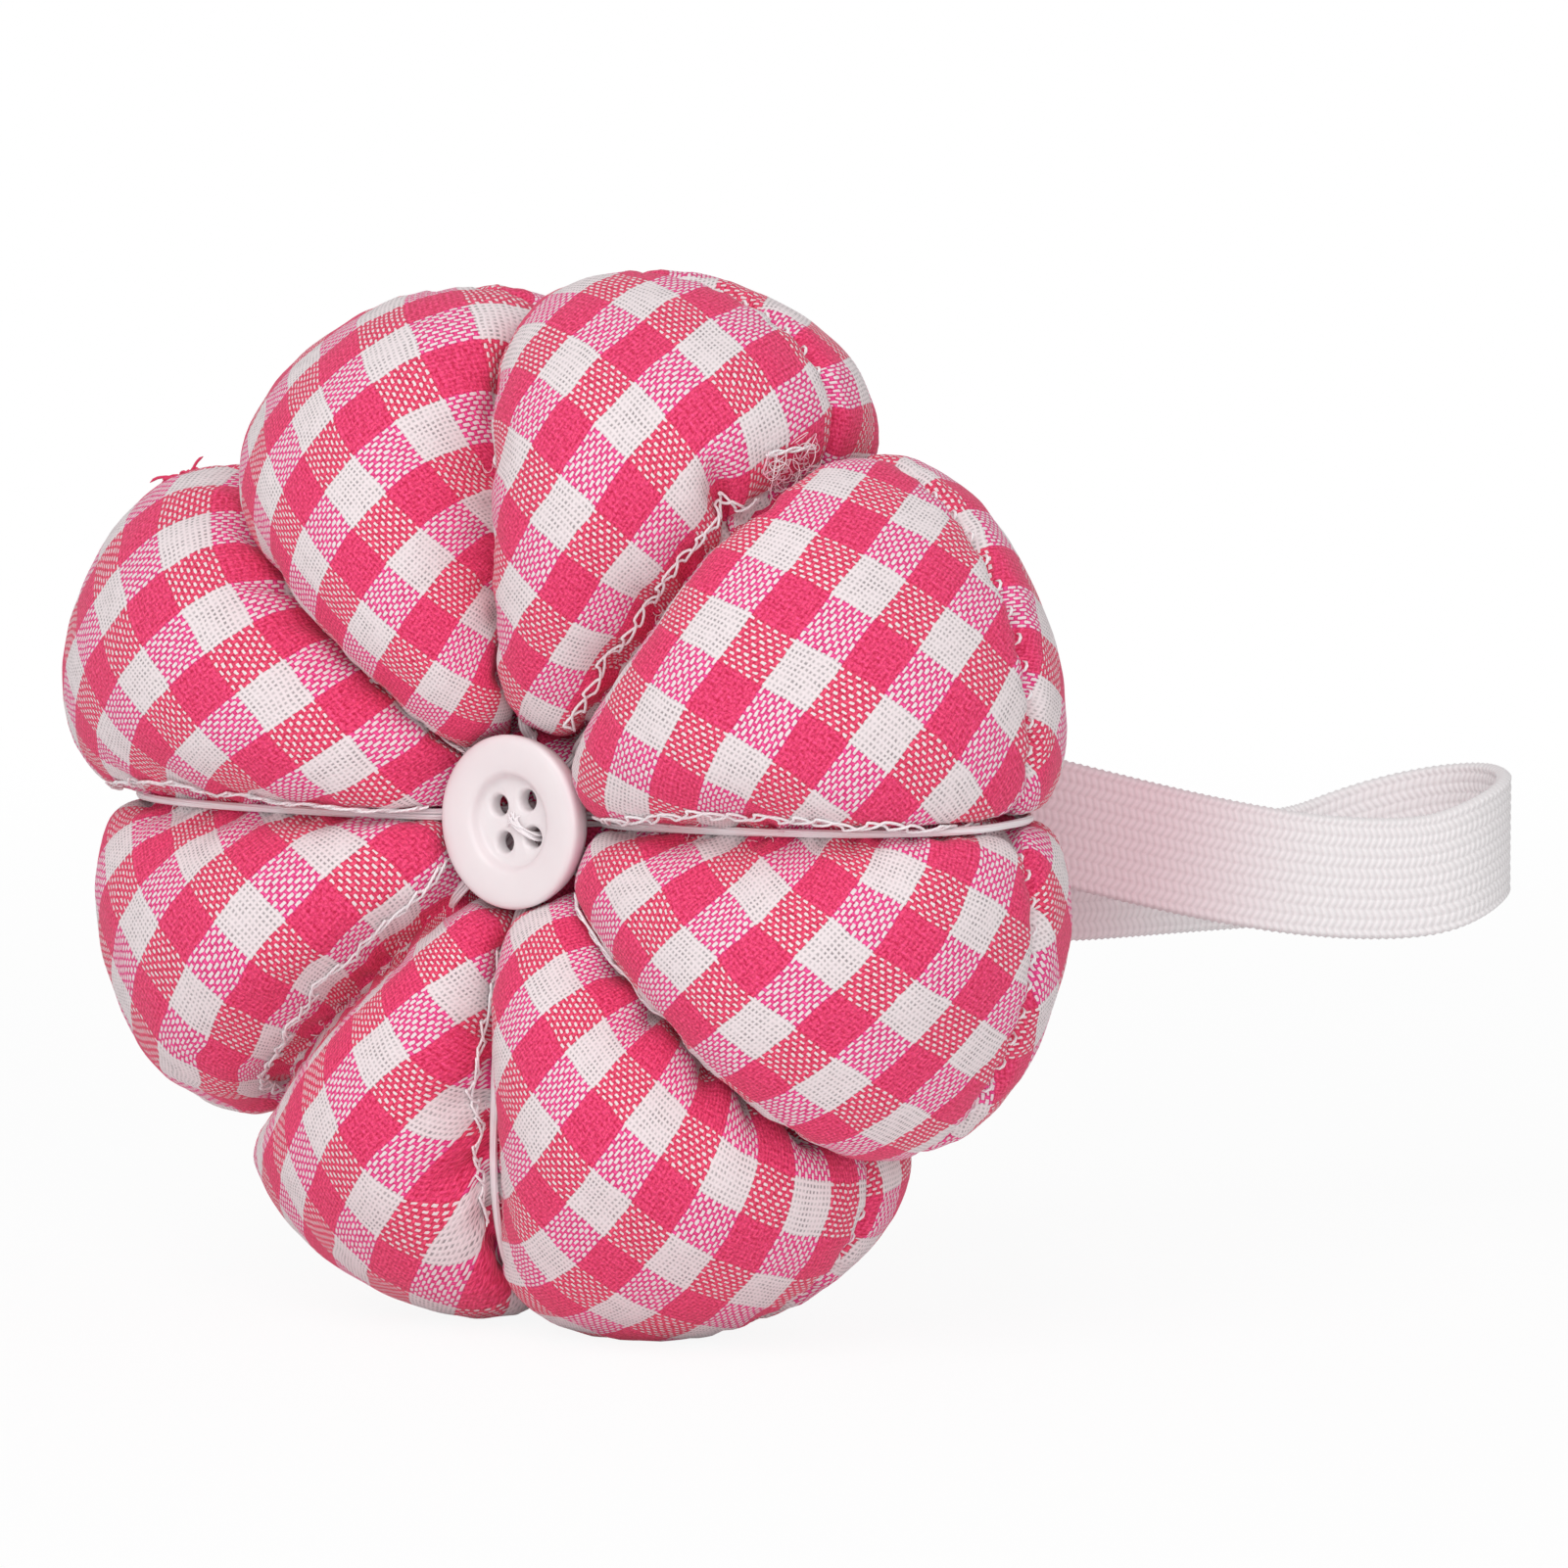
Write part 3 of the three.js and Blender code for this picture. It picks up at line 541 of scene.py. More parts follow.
def check_places(lays, face_flat):
    """Each face corner's place on the gingham, counted in checks across the warp and the weft."""
    rows = lays[face_petal][:, :, None]
    x, y = face_flat[..., 0] - rows[:, 0], face_flat[..., 1] - rows[:, 1]
    places = []
    for lay_row in (rows[:, 2:8], rows[:, 8:]):
        turn, check, shift, bend_x, bend_xy, bend_y = lay_row.swapaxes(0, 1)
        straight = (x * np.cos(np.radians(turn)) + y * np.sin(np.radians(turn))) / check
        places.append(straight + (bend_x * x * x + bend_xy * x * y + bend_y * y * y) / 100 + shift + 0.5)
    return np.stack(places, -1).reshape(-1, 2)


crease_depth, pleat_depth, pucker_depth = 0.32, 0.3, 0.22
pleat_pitch, pleat_width, pucker_pitch, pucker_width = 2.9, 2.2, 3.0, 1.8


def fine_cloth(piece, disc_places):
    """Divides a cover once, then adds the pleats, puckers and creases that the coarse cloth lacks."""
    piece.data.uv_layers.new(name="disc").data.foreach_set("uv", disc_places.astype(np.float32).ravel())
    piece.modifiers.new("finer", "SUBSURF").levels = 1
    bpy.context.view_layer.update()
    finer = bpy.data.meshes.new_from_object(piece.evaluated_get(bpy.context.evaluated_depsgraph_get()))
    piece.modifiers.clear()
    corner_point, corner_disc = np.empty(len(finer.loops), int), np.empty(2 * len(finer.loops), np.float32)
    finer.loops.foreach_get("vertex_index", corner_point)
    finer.uv_layers["disc"].data.foreach_get("uv", corner_disc)
    finer.uv_layers.remove(finer.uv_layers["disc"])
    on_disc = np.zeros((len(finer.vertices), 2))
    on_disc[corner_point] = corner_disc.reshape(-1, 2)
    place, normal = np.empty(3 * len(finer.vertices)), np.empty(3 * len(finer.vertices), np.float32)
    finer.vertices.foreach_get("co", place)
    finer.vertices.foreach_get("normal", normal)
    place, normal = 1000 * place.reshape(-1, 3), normal.reshape(-1, 3)
    out, turned = np.hypot(*on_disc.T), np.arctan2(on_disc[:, 1], on_disc[:, 0])
    off_groove = np.abs(np.mod(turned[:, None] - groove_angle + np.pi, 2 * np.pi) - np.pi)
    nearest = off_groove.argmin(1)
    from_groove = out * np.sin(np.minimum(off_groove.min(1), np.pi / 2))
    swell = np.array([0.5 * noise.noise(point / 6.5) + 0.35 * noise.noise(point / 2.4)
                      for point in (Vector(row) for row in place)])
    pleat = np.sin(2 * np.pi * out / pleat_pitch + nearest * 1.9 + 6 * swell)
    pleat *= np.exp(-from_groove / pleat_width)
    pleat *= np.clip((out - 12) / 8, 0, 1) * np.clip((disc_radius - 1.5 - out) / 4, 0, 1)
    pucker = np.sin(2 * np.pi * disc_radius * turned / pucker_pitch + 5 * swell)
    pucker *= np.exp((out - disc_radius) / pucker_width)
    place += normal * (crease_depth * swell + pleat_depth * pleat + pucker_depth * pucker)[:, None]
    place[:, 2] = np.maximum(place[:, 2], 0)
    finer.vertices.foreach_set("co", (place / 1000).ravel())
    piece.data = finer
    finer.name = piece.name
    finer.shade_smooth()


front_cover = make_piece("front_cover_cloth", bag[:disc_count], disc_faces,
                         check_places(front_lay, flat[disc_faces]), gingham)
back_points = np.concatenate([bag[disc_count:], bag[rim]])
back_flat = np.concatenate([flat[disc_count:], flat[rim]])
back_faces = disc_faces[:, ::-1]
back_cover = make_piece("back_cover_cloth", back_points, back_faces,
                        check_places(back_lay, back_flat[back_faces]), gingham)
plain_disc = np.stack([disc[:, 0] * np.cos(disc[:, 1]), disc[:, 0] * np.sin(disc[:, 1])], 1)
for cover, faces, nodes in ((front_cover, disc_faces, ("front_cover", "fibre_fill")),
                            (back_cover, back_faces, ("back_cover",))):
    fine_cloth(cover, plain_disc[faces].reshape(-1, 2))
    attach(cover, "cushion")
    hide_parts(*nodes)


# ---------------------------------------------------------------------------------------------
# Rim seam. White sewing thread, two plies of polyester, joins the discs in small stitches that
# show as dots down in the crease between front and back.
# ---------------------------------------------------------------------------------------------
def tube_grid(rows, round_by):
    """For each face of a tube: its row, its place round the row and the place after that."""
    row, place = np.meshgrid(np.arange(rows - 1), np.arange(round_by), indexing="ij")
    return row.ravel(), place.ravel(), (place.ravel() + 1) % round_by


def spin(path, thickness, round_by=7):
    """One strand along a path: its points, its faces and each face corner's place along and round it."""
    path = np.asarray(path, float)
    ahead = np.gradient(path, axis=0)
    ahead /= np.linalg.norm(ahead, axis=1)[:, None] + 1e-12
    aside = np.cross(ahead[0], [0.31, 0.52, 0.79])
    frames = []
    for direction in ahead:
        aside = aside - direction * (aside @ direction)
        aside /= np.linalg.norm(aside) + 1e-12
        frames.append(aside)
    frames = np.array(frames)
    upright = np.cross(ahead, frames)
    radius = np.broadcast_to(np.asarray(thickness, float) / 2, len(path)).copy()
    radius[[0, -1]] *= 0.25
    turn = np.arange(round_by) * 2 * np.pi / round_by
    ring = np.cos(turn)[None, :, None] * frames[:, None] + np.sin(turn)[None, :, None] * upright[:, None]
    points = (path[:, None] + radius[:, None, None] * ring).reshape(-1, 3)
    i, j, following = tube_grid(len(path), round_by)
    faces = np.stack([i * round_by + j, i * round_by + following, (i + 1) * round_by + following,
                      (i + 1) * round_by + j], 1)
    length = np.append(0, np.cumsum(np.linalg.norm(np.diff(path, axis=0), axis=1)))
    places = np.stack([np.stack([length[a], b / round_by], 1) for a, b in
                       ((i, j), (i, j + 1), (i + 1, j + 1), (i + 1, j))], 1)
    return points, faces, places.reshape(-1, 2)


def sew(name, strands, material, body, slot, *nodes):
    """One piece from several strands, riding on a body in place of its CAD nodes."""
    starts = np.cumsum([0] + [len(points) for points, _, _ in strands])
    piece = make_piece(name, np.concatenate([s[0] for s in strands]),
                       np.concatenate([s[1] + start for s, start in zip(strands, starts)]),
                       np.concatenate([s[2] for s in strands]), material)
    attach(piece, body)
    if nodes:
        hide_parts(*nodes)


# Spun polyester: soft white with a faint gloss, ridged by the twist of its two plies, 0.9 mm a turn, and
# greyer in the grooves between the plies as painted shade.
ply_count, ply_turn = 2, 0.9
thread_white, tree = new_tree("spun_polyester_thread")
lay = add(tree, "SeparateXYZ", (add(tree, "UVMap", uv_map="lay"),)).outputs
ply = add(tree, "Math", (lay["X"], 1 / ply_turn, lay["Y"]), operation="MULTIPLY_ADD")
ply = add(tree, "Math", (ply, 2 * np.pi * ply_count), operation="MULTIPLY")
ply = add(tree, "Math", (ply,), operation="SINE")
# Painted shade: darker where the plies dip, on the same wave as the bump.
tone = add(tree, "MapRange", (ply, -1.0, -0.2))
tone = add(tree, "Mix", (tone, linear("#ECE3E6"), linear("#FBF8F9")), data_type="RGBA")
bump = add(tree, "Bump", {"Height": ply, "Strength": 0.4, "Distance": 0.00006})
thread_finish = add(tree, "BsdfPrincipled", {
    "Base Color": tone, "Roughness": 0.55, "Specular IOR Level": 0.35, "Sheen Weight": 0.2,
    "Sheen Roughness": 0.4, "Normal": bump})
add(tree, "OutputMaterial", {"Surface": thread_finish})

stitch_pitch, stitch_half, stitch_across, stitch_slant, stitch_thread = 2.1, 0.35, 0.34, 0.6, 0.24
stitch_lean = np.array([-1, -0.6, 0, 0.6, 1])[:, None]
stitch_arch = np.array([-0.9, -0.55, -0.45, -0.55, -0.9])[:, None]
seam_steps = np.diff(np.vstack([seam_line, seam_line[:1]]), axis=0)
around = np.append(0, np.cumsum(np.linalg.norm(seam_steps, axis=1)))


def along_seam(values, place):
    """Values round the closed seam, just before a place along it, at that place and just after."""
    near = place + np.array([-stitch_half, 0, stitch_half])
    return np.stack([np.interp(near, around, np.append(column, column[0]), period=around[-1])
                     for column in values.T], 1)


stitches = []
for place in np.arange(0, around[-1] - stitch_pitch / 2, stitch_pitch):
    spot, lift = along_seam(seam_line, place), along_seam(seam_normal, place)[1]
    ahead = spot[2] - spot[0]
    over_it = unit(np.cross(ahead, lift))
    path = spot[1] + stitch_lean * (stitch_across * over_it + stitch_slant * ahead) + stitch_arch * lift
    stitches.append(spin(path, stitch_thread, 6))
sew("rim_seam_stitches", stitches, thread_white, "cushion", "thread", "rim_seam_thread")


# ---------------------------------------------------------------------------------------------
# Groove stitching. A loose chain of white thread runs along the edge of each petal beside its
# groove, where the petals were marked and gathered by machine before they were drawn in.
# ---------------------------------------------------------------------------------------------
ring_points = [np.concatenate(row) if row is not rings[0] else np.array([0]) for row in rings]
ring_at = np.append(0, ring_radius)


def on_cloth(outs, turns):
    """Places and outward directions on the front cover, by distance and angle on the flat disc."""
    found = []
    for out, turn in zip(outs, turns):
        lower = int(np.clip(np.searchsorted(ring_at, out) - 1, 1, len(ring_at) - 2))
        share = (out - ring_at[lower]) / (ring_at[lower + 1] - ring_at[lower])
        place = np.zeros(6)
        for ring, weight in ((lower, 1 - share), (lower + 1, share)):
            points = ring_points[ring]
            values = np.hstack([bag[points], bag_normal[points]])
            place += weight * np.array([np.interp(turn, angle[points], column, period=2 * np.pi)
                                        for column in values.T])
        found.append(place)
    found = np.array(found)
    return found[:, :3], unit(found[:, 3:])


def ease(line, times):
    """Smooths a line of points in place and leaves its two ends."""
    for _ in range(times):
        line[1:-1] = (line[:-2] + 2 * line[1:-1] + line[2:]) / 4


chain_thread, chain_pitch, chain_width = 0.22, 3.6, 0.42
chains = []
for number, side_of_groove, start, stop, from_groove in (
        (0, 1, 14, 51, 4.1), (1, 1, 16, 46, 2.8), (2, -1, 16, 48, 1.4), (3, -1, 16, 50, 1.4),
        (4, -1, 15, 52, 3.0), (5, -1, 13, 50, 4.6), (6, -1, 14, 42, 2.2), (7, 1, 15, 50, 3.6)):
    outs = np.arange(start, stop, 0.15)
    wander = from_groove + 0.3 * np.sin(outs / 3.1 + number * 2) + 0.15 * np.sin(outs / 1.3 + number)
    spots, lifts = on_cloth(outs, groove_angle[number] + side_of_groove * wander / outs)
    ease(spots, 60)
    ease(lifts, 60)
    ahead = unit(np.gradient(spots, axis=0))
    over_it = unit(np.cross(lifts, ahead))
    for leg in (0, np.pi):
        phase = 2 * np.pi * outs / chain_pitch + leg + number + 0.9 * np.sin(outs / 2.3 + number + leg)
        loose = chain_width * (1 + 0.45 * np.sin(outs / 1.9 + 2 * number + leg))
        wave = (loose * np.sin(phase))[:, None] * over_it
        wave += 0.5 * (loose * np.sin(2 * phase + 1))[:, None] * ahead
        lift = (0.2 + 0.1 * np.cos(phase + 0.6))[:, None] * lifts
        chains.append(spin(spots + wave + lift, chain_thread, 6))
# At the upper right groove the chain's two ends lie twisted together on the petal's edge.
tail_from, tail_to, tail_points = 46, 51, 40
beside = np.linspace(6.3, 5.2, tail_points) / 48
spots, lifts = on_cloth(np.linspace(tail_from, tail_to, tail_points), groove_angle[1] + beside)
aside = unit(np.cross(lifts, np.gradient(spots, axis=0)))
for twist in (0, np.pi):
    turn = np.linspace(0, 9, tail_points)[:, None] + twist
    path = spots + (0.35 + 0.1 * np.cos(turn)) * lifts + 0.13 * np.sin(turn) * aside
    chains.append(spin(path, chain_thread, 6))
sew("groove_stitching", chains, thread_white, "cushion", "thread",
    *[f"groove_stitch_{k + 1}" for k in range(8)])


# ---------------------------------------------------------------------------------------------
# Loose fibres. Lint and cut ends of the cotton stand out of the creases, and where the stitching
# ends at the upper right the cloth has frayed into a tuft of fine pink and white hairs.
# ---------------------------------------------------------------------------------------------
# Frayed cotton: hair-fine and pale pink. Real hairs are 0.02 mm; these are 0.075 mm, so that they show.
hair_thread = 0.075
lint, tree = new_tree("frayed_cotton_lint")
tint = add(tree, "TexNoise", {"Vector": add(tree, "TexCoord").outputs["Object"],
                              "Scale": 700.0, "Detail": 1.0})
tint = add(tree, "MapRange", (tint, 0.4, 0.6))
tone = add(tree, "Mix", (tint, linear("#F2B9CB"), linear("#F6ECEE")), data_type="RGBA")
lint_finish = add(tree, "BsdfPrincipled", {"Base Color": tone, "Roughness": 0.9, "Sheen Weight": 0.2})
add(tree, "OutputMaterial", {"Surface": lint_finish})

draw = np.random.default_rng(11)
hairs = []
tuft = [(1, draw.uniform(46, 51), draw.normal(4.8, 0.8), draw.uniform(0.7, 1.6), 7.5) for _ in range(34)]
along_grooves = [(k % 8, draw.uniform(14, 54), draw.uniform(-1.7, 1.7), draw.uniform(0.3, 0.8), 5.0)
                 for k in range(190)]
for number, out, beside, curl, most in tuft + along_grooves:
    spot, lift = on_cloth([out], [groove_angle[number] + beside / out])
    aside = unit(np.cross(lift[0], draw.normal(0, 1, 3)))
    rise = 0.5 * lift[0] + 0.5 * np.cross(lift[0], aside)
    turn = np.linspace(0, draw.uniform(0.35, 1) * most, 30)[:, None]
    grown = curl * (1 - 0.1 * turn)
    path = spot[0] + grown * np.sin(turn) * aside + grown * (1 - np.cos(turn)) * rise
    hairs.append(spin(path, hair_thread, 4))
sew("loose_fibres", hairs, lint, "cushion", "gingham")

# Snipped ends of dyed yarn at the upper left rim: the same cotton as the checks, in its full pink.
snipped, tree = new_tree("dyed_cotton_yarn")
snipped_finish = add(tree, "BsdfPrincipled", {"Base Color": linear("#DE3D68"), "Roughness": 0.9,
                                              "Sheen Weight": 0.1})
add(tree, "OutputMaterial", {"Surface": snipped_finish})

end_count, end_thread, end_out = 14, 0.24, 55.6
ends = []
for _ in range(end_count):
    place = groove_angle[3] + draw.normal(11.5, 1.9) / end_out
    spot, lift = on_cloth([end_out, end_out], [place, place + 0.03])
    way = unit(spot[1] - spot[0]) * draw.choice([1, 1, -1]) * draw.uniform(0.8, 2.6)
    way += draw.normal(0, 0.25, 3)
    share = np.linspace(0, 1, 10)[:, None]
    rise = draw.uniform(1.2, 1.9) * np.sin(share * draw.uniform(1.4, 2.2))
    ends.append(spin(spot[0] - 0.3 * lift[0] + share ** 1.5 * way + rise * lift[0], end_thread, 5))
sew("snipped_ends", ends, snipped, "cushion", "gingham")


# ---------------------------------------------------------------------------------------------
# Cinch wraps. White cotton floss is wound from the middle of the front down each groove, over the
# rim and back to the middle behind, and pulled tight, which is what divides the bag into petals.
# ---------------------------------------------------------------------------------------------
# Mercerised cotton floss: smooth bright strands laid side by side with a silky sheen along them.
floss_white, tree = new_tree("mercerised_cotton_floss")
lay = add(tree, "SeparateXYZ", (add(tree, "UVMap", uv_map="lay"),)).outputs
lengthwise = add(tree, "Math", (lay["X"], 0.25), operation="MULTIPLY")
crosswise = add(tree, "Math", (lay["Y"], 9.0), operation="MULTIPLY")
drawn = add(tree, "CombineXYZ", (lengthwise, crosswise))
drawn = add(tree, "TexNoise", {"Vector": drawn, "Scale": 1.0, "Detail": 3.0})
tone = add(tree, "MapRange", (drawn, 0.3, 0.65))
tone = add(tree, "Mix", (tone, linear("#F2E8EC"), linear("#FDF9FA")), data_type="RGBA")
bump = add(tree, "Bump", {"Height": drawn, "Strength": 0.3, "Distance": 0.0001})
floss_finish = add(tree, "BsdfPrincipled", {"Base Color": tone, "Roughness": 0.42, "Specular IOR Level": 0.45,
                                            "Sheen Weight": 0.15, "Sheen Roughness": 0.35, "Normal": bump})
add(tree, "OutputMaterial", {"Surface": floss_finish})

# On the front of five grooves the wrap is pulled so deep that the petals close over it.
wrap_lift, wrap_start, wrap_strands, wrap_twist, strand_thread = 0.66, 1.3, 7, 60, 0.25
wrap_half, wrap_deep, fan_half, fan_length = 0.17, 0.16, 0.55, 5
wrap_sunk = np.array([0, 1, 1, 1, 0, 1, 0.1, 1]) * 2.6
wraps = []
for number in range(8):
    turn = np.linspace(np.pi, -np.pi, 121)
    far, tall = groove_floor(turn, number)
    tall[0], tall[-1] = dimple_height, -dimple_height
    inward = np.linspace(wrap_start, dimple_radius - 0.4, 8)
    far = np.r_[inward, far, inward[::-1]]
    tall = np.r_[[dimple_height] * 8, tall, [-dimple_height] * 8]
    step_far, step_tall = np.gradient(far), np.gradient(tall)
    size = np.hypot(step_far, step_tall) + 1e-9
    off_far, off_tall = -step_tall / size, step_far / size
    out = np.array([np.cos(groove_angle[number]), 0, np.sin(groove_angle[number])])
    beside = np.array([-out[2], 0, out[0]])
    length = np.append(0, np.cumsum(np.hypot(np.diff(far), np.diff(tall))))
    on_front, past_button = np.clip((tall - 0.5) / 2.5, 0, 1), np.clip((far - 7) / 4, 0, 1)
    lift = wrap_lift - wrap_sunk[number] * on_front * past_button
    spread = wrap_half + fan_half * np.exp(-(far - wrap_start) / fan_length)
    for strand in range(wrap_strands):
        twist = strand * 2 * np.pi / wrap_strands + length * 2 * np.pi / wrap_twist + number
        wide, deep = spread * np.cos(twist), wrap_deep * np.sin(twist)
        far_s, tall_s = far + (lift + deep) * off_far, tall + (lift + deep) * off_tall
        path = far_s[:, None] * out + tall_s[:, None] * np.array([0, -1, 0]) + wide[:, None] * beside
        wraps.append(spin(path, strand_thread, 7))
sew("cinch_wraps", wraps, floss_white, "cushion", "thread", *[f"cinch_wrap_{k + 1}" for k in range(8)])


# ---------------------------------------------------------------------------------------------
# Button. A 12.7 mm four-hole shirt button, turned from white polyester casting: a rounded rim, a
# dished middle and four drilled holes. It sits in the dimple on top of the wraps.
# ---------------------------------------------------------------------------------------------
# Polyester casting: milky white, faintly see-through at the edges, polished to a soft gloss.
casting, tree = new_tree("polished_polyester_casting")
cloud = add(tree, "TexNoise", {"Vector": add(tree, "TexCoord").outputs["Object"],
                               "Scale": 400.0, "Detail": 2.0})
tone = add(tree, "Mix", (cloud, linear("#E8DFE1"), linear("#EDE6E7")), data_type="RGBA")
worn = add(tree, "MapRange", (cloud, 0.0, 1.0, 0.3, 0.42))
casting_finish = add(tree, "BsdfPrincipled", {
    "Base Color": tone, "Roughness": worn, "IOR": 1.54, "Subsurface Weight": 0.15, "Subsurface Scale": 0.001,
    "Subsurface Radius": (1.0, 0.8, 0.8)})
add(tree, "OutputMaterial", {"Surface": casting_finish})

hole_turn, hole_out = np.radians(11), 1.91
button_seat = Vector(bag_middle) + Vector((0.75, -7.9, 0))
button_lean = Matrix.Rotation(np.radians(-8.5), 3, "Z")
button_profile = [
    (0.0, 1.95), (2.85, 1.95), (3.12, 1.98), (3.28, 2.1), (3.38, 2.35), (3.46, 2.6), (3.6, 2.77),
    (3.85, 2.86), (4.5, 2.95), (5.2, 3.0), (5.7, 2.99), (6.05, 2.92), (6.25, 2.8), (6.34, 2.62),
    (6.34, 2.4), (6.24, 1.8), (5.98, 1.1), (5.55, 0.5), (5.0, 0.12), (4.5, 0.0), (3.9, 0.08),
    (3.4, 0.5), (2.9, 0.85), (0.0, 0.9)]
drill_profile = [(0.0, 4.0), (1.0, 4.0), (1.0, 1.96), (0.93, 1.91), (0.86, 1.84), (0.8, 1.73), (0.76, 1.59),
                 (0.75, 1.35), (0.75, -1.0), (0.0, -1.0)]


def turn_on_lathe(name, profile, x, z, sides):
    """A closed round form square to the leaning button, from (radius, height above its back)."""
    made = bmesh.new()
    turns = np.arange(sides) * 2 * np.pi / sides
    rows = []
    for r, h in profile:
        ring = [Vector((x + r * np.cos(t), -h, z + r * np.sin(t))) for t in (turns if r else turns[:1])]
        rows.append([made.verts.new((button_seat + button_lean @ point) / 1000) for point in ring])
    for a, b in zip(rows, rows[1:]):
        for k in range(sides):
            corners = [a[k % len(a)], b[k % len(b)], b[(k + 1) % len(b)], a[(k + 1) % len(a)]]
            made.faces.new([v for n, v in enumerate(corners) if v not in corners[:n]])
    bmesh.ops.recalc_face_normals(made, faces=made.faces)
    mesh = bpy.data.meshes.new(name)
    made.to_mesh(mesh)
    made.free()
    turned = bpy.data.objects.new(name, mesh)
    bpy.context.scene.collection.objects.link(turned)
    return turned


button = turn_on_lathe("button_casting", button_profile, 0, 0, 96)
hole_places = [(hole_out * np.cos(hole_turn + k), hole_out * np.sin(hole_turn + k))
               for k in np.radians([45, 135, 225, 315])]
for x, z in hole_places:
    drill = turn_on_lathe("drill", drill_profile, x, z, 40)
    drilled = button.modifiers.new("drilled", "BOOLEAN")
    drilled.object, drilled.operation, drilled.solver = drill, "DIFFERENCE", "EXACT"
    bpy.context.view_layer.update()
    button.data = bpy.data.meshes.new_from_object(button.evaluated_get(bpy.context.evaluated_depsgraph_get()))
    button.modifiers.clear()
    bpy.data.objects.remove(drill)
button.data.name = "button_casting"
button.data.materials.clear()
button.data.materials.append(casting)
button.data.shade_smooth()
button.data.set_sharp_from_angle(angle=np.radians(40))
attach(button, "cushion")
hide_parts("button")


# ---------------------------------------------------------------------------------------------
# Centre tie. The same floss goes through the middle of the bag and the button's holes, comes up in
# the lower right hole, ends in a small frayed knot between the holes, and draws the sides together.
# ---------------------------------------------------------------------------------------------
tuft_strands, tuft_thread = 22, 0.13
tie_strands = []
fray = np.random.default_rng(5)
hole = np.array([hole_places[3][0], 0, hole_places[3][1]])
for _ in range(tuft_strands):
    lie = np.array([fray.normal(0, 0.18), 0, fray.normal(0, 0.18)])
    rise = 2.2 + 0.35 * fray.random()
    stop = np.array([fray.normal(-0.3, 0.34), -2.0, fray.normal(0.2, 0.34)])
    corner = np.array([hole + lie, hole + lie + [0, -1.0, 0], 0.93 * hole + lie + [0, -1.72, 0],
                       0.66 * hole + 0.8 * lie + [0, -2.08, 0], 0.33 * hole + 0.6 * lie + [0, -rise, 0],
                       0.4 * stop + [0, -0.6 * rise, 0] + lie * 0.5, stop])
    share, fine = np.linspace(0, 1, len(corner)), np.linspace(0, 1, 40)
    path = np.stack([np.interp(fine, share, corner[:, k]) for k in range(3)], 1)
    ease(path, 6)
    path = path @ np.array(button_lean).T + np.array(button_seat) - bag_middle
    tie_strands.append(spin(path, tuft_thread, 5))
# Through the bag it is a twisted cord: six strands round a seventh.
cord_radius, cord_front, cord_rear, cord_thread = 0.78, -7.4, 7.3, 0.8
tall = np.linspace(cord_front, cord_rear, 30)
for strand in range(7):
    swirl = strand * 2 * np.pi / 6 + tall * 0.2
    radius = 0 if strand == 6 else cord_radius
    path = np.stack([radius * np.cos(swirl), tall, radius * np.sin(swirl)], 1)
    tie_strands.append(spin(path, cord_thread, 7))
sew("centre_tie_floss", tie_strands, floss_white, "cushion", "thread", "centre_tie")


# ---------------------------------------------------------------------------------------------
# Back knot. Behind, the ends of the wraps and of the tie are wound round each other and knotted
# off in a small rosette in the middle of the back.
# ---------------------------------------------------------------------------------------------
knot_radius, knot_front, knot_rear, knot_loops, knot_thread = 2.3, 8.0, 9.8, 9, 0.55
knot_turns = []
turn = np.linspace(0, 2 * np.pi, 40)
for loop in range(knot_loops):
    lean = loop * np.pi / knot_loops + 0.1 * np.sin(loop * 2.4)
    spread = knot_radius * (0.93 + 0.07 * np.cos(loop * 1.7))
    bow = 0.35 * np.sin(2 * turn + loop)
    knot_turns.append(spin(np.stack([
        spread * np.cos(turn) * np.cos(lean) - bow * np.sin(lean),
        (knot_front + knot_rear) / 2 + (knot_rear - knot_front) / 2 * np.sin(turn),
        spread * np.cos(turn) * np.sin(lean) + bow * np.cos(lean)], 1), knot_thread, 7))
sew("back_knot_floss", knot_turns, floss_white, "cushion", "thread", "back_knot")


# ---------------------------------------------------------------------------------------------
# Band tack. The two ends of the elastic are sewn to the middle of the back by a bar of close
# overcast stitches in the same thread as the seam.
# ---------------------------------------------------------------------------------------------
tack_turns, tack_radius, tack_thread, core_thread = 26, 0.56, 0.46, 0.8
tack_low, tack_high = (np.array(corner) * 1000 - bag_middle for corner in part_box("band_tack"))
tack_middle = (tack_low + tack_high) / 2
turn = np.linspace(0, 2 * np.pi * tack_turns, tack_turns * 14)
climb = np.linspace(tack_low[2] + 0.3, tack_high[2] - 0.3, len(turn))
bar = spin(np.stack([tack_middle[0] + tack_radius * np.cos(turn), tack_middle[1] + tack_radius * np.sin(turn),
                     climb + 0.12 * np.sin(turn * 0.37)], 1), tack_thread, 6)
core = spin(np.stack([np.full(12, tack_middle[0]), np.full(12, tack_middle[1]),
                      np.linspace(tack_low[2] + 0.2, tack_high[2] - 0.2, 12)], 1), core_thread, 7)
sew("band_tack_stitches", [bar, core], thread_white, "cushion", "thread", "band_tack")


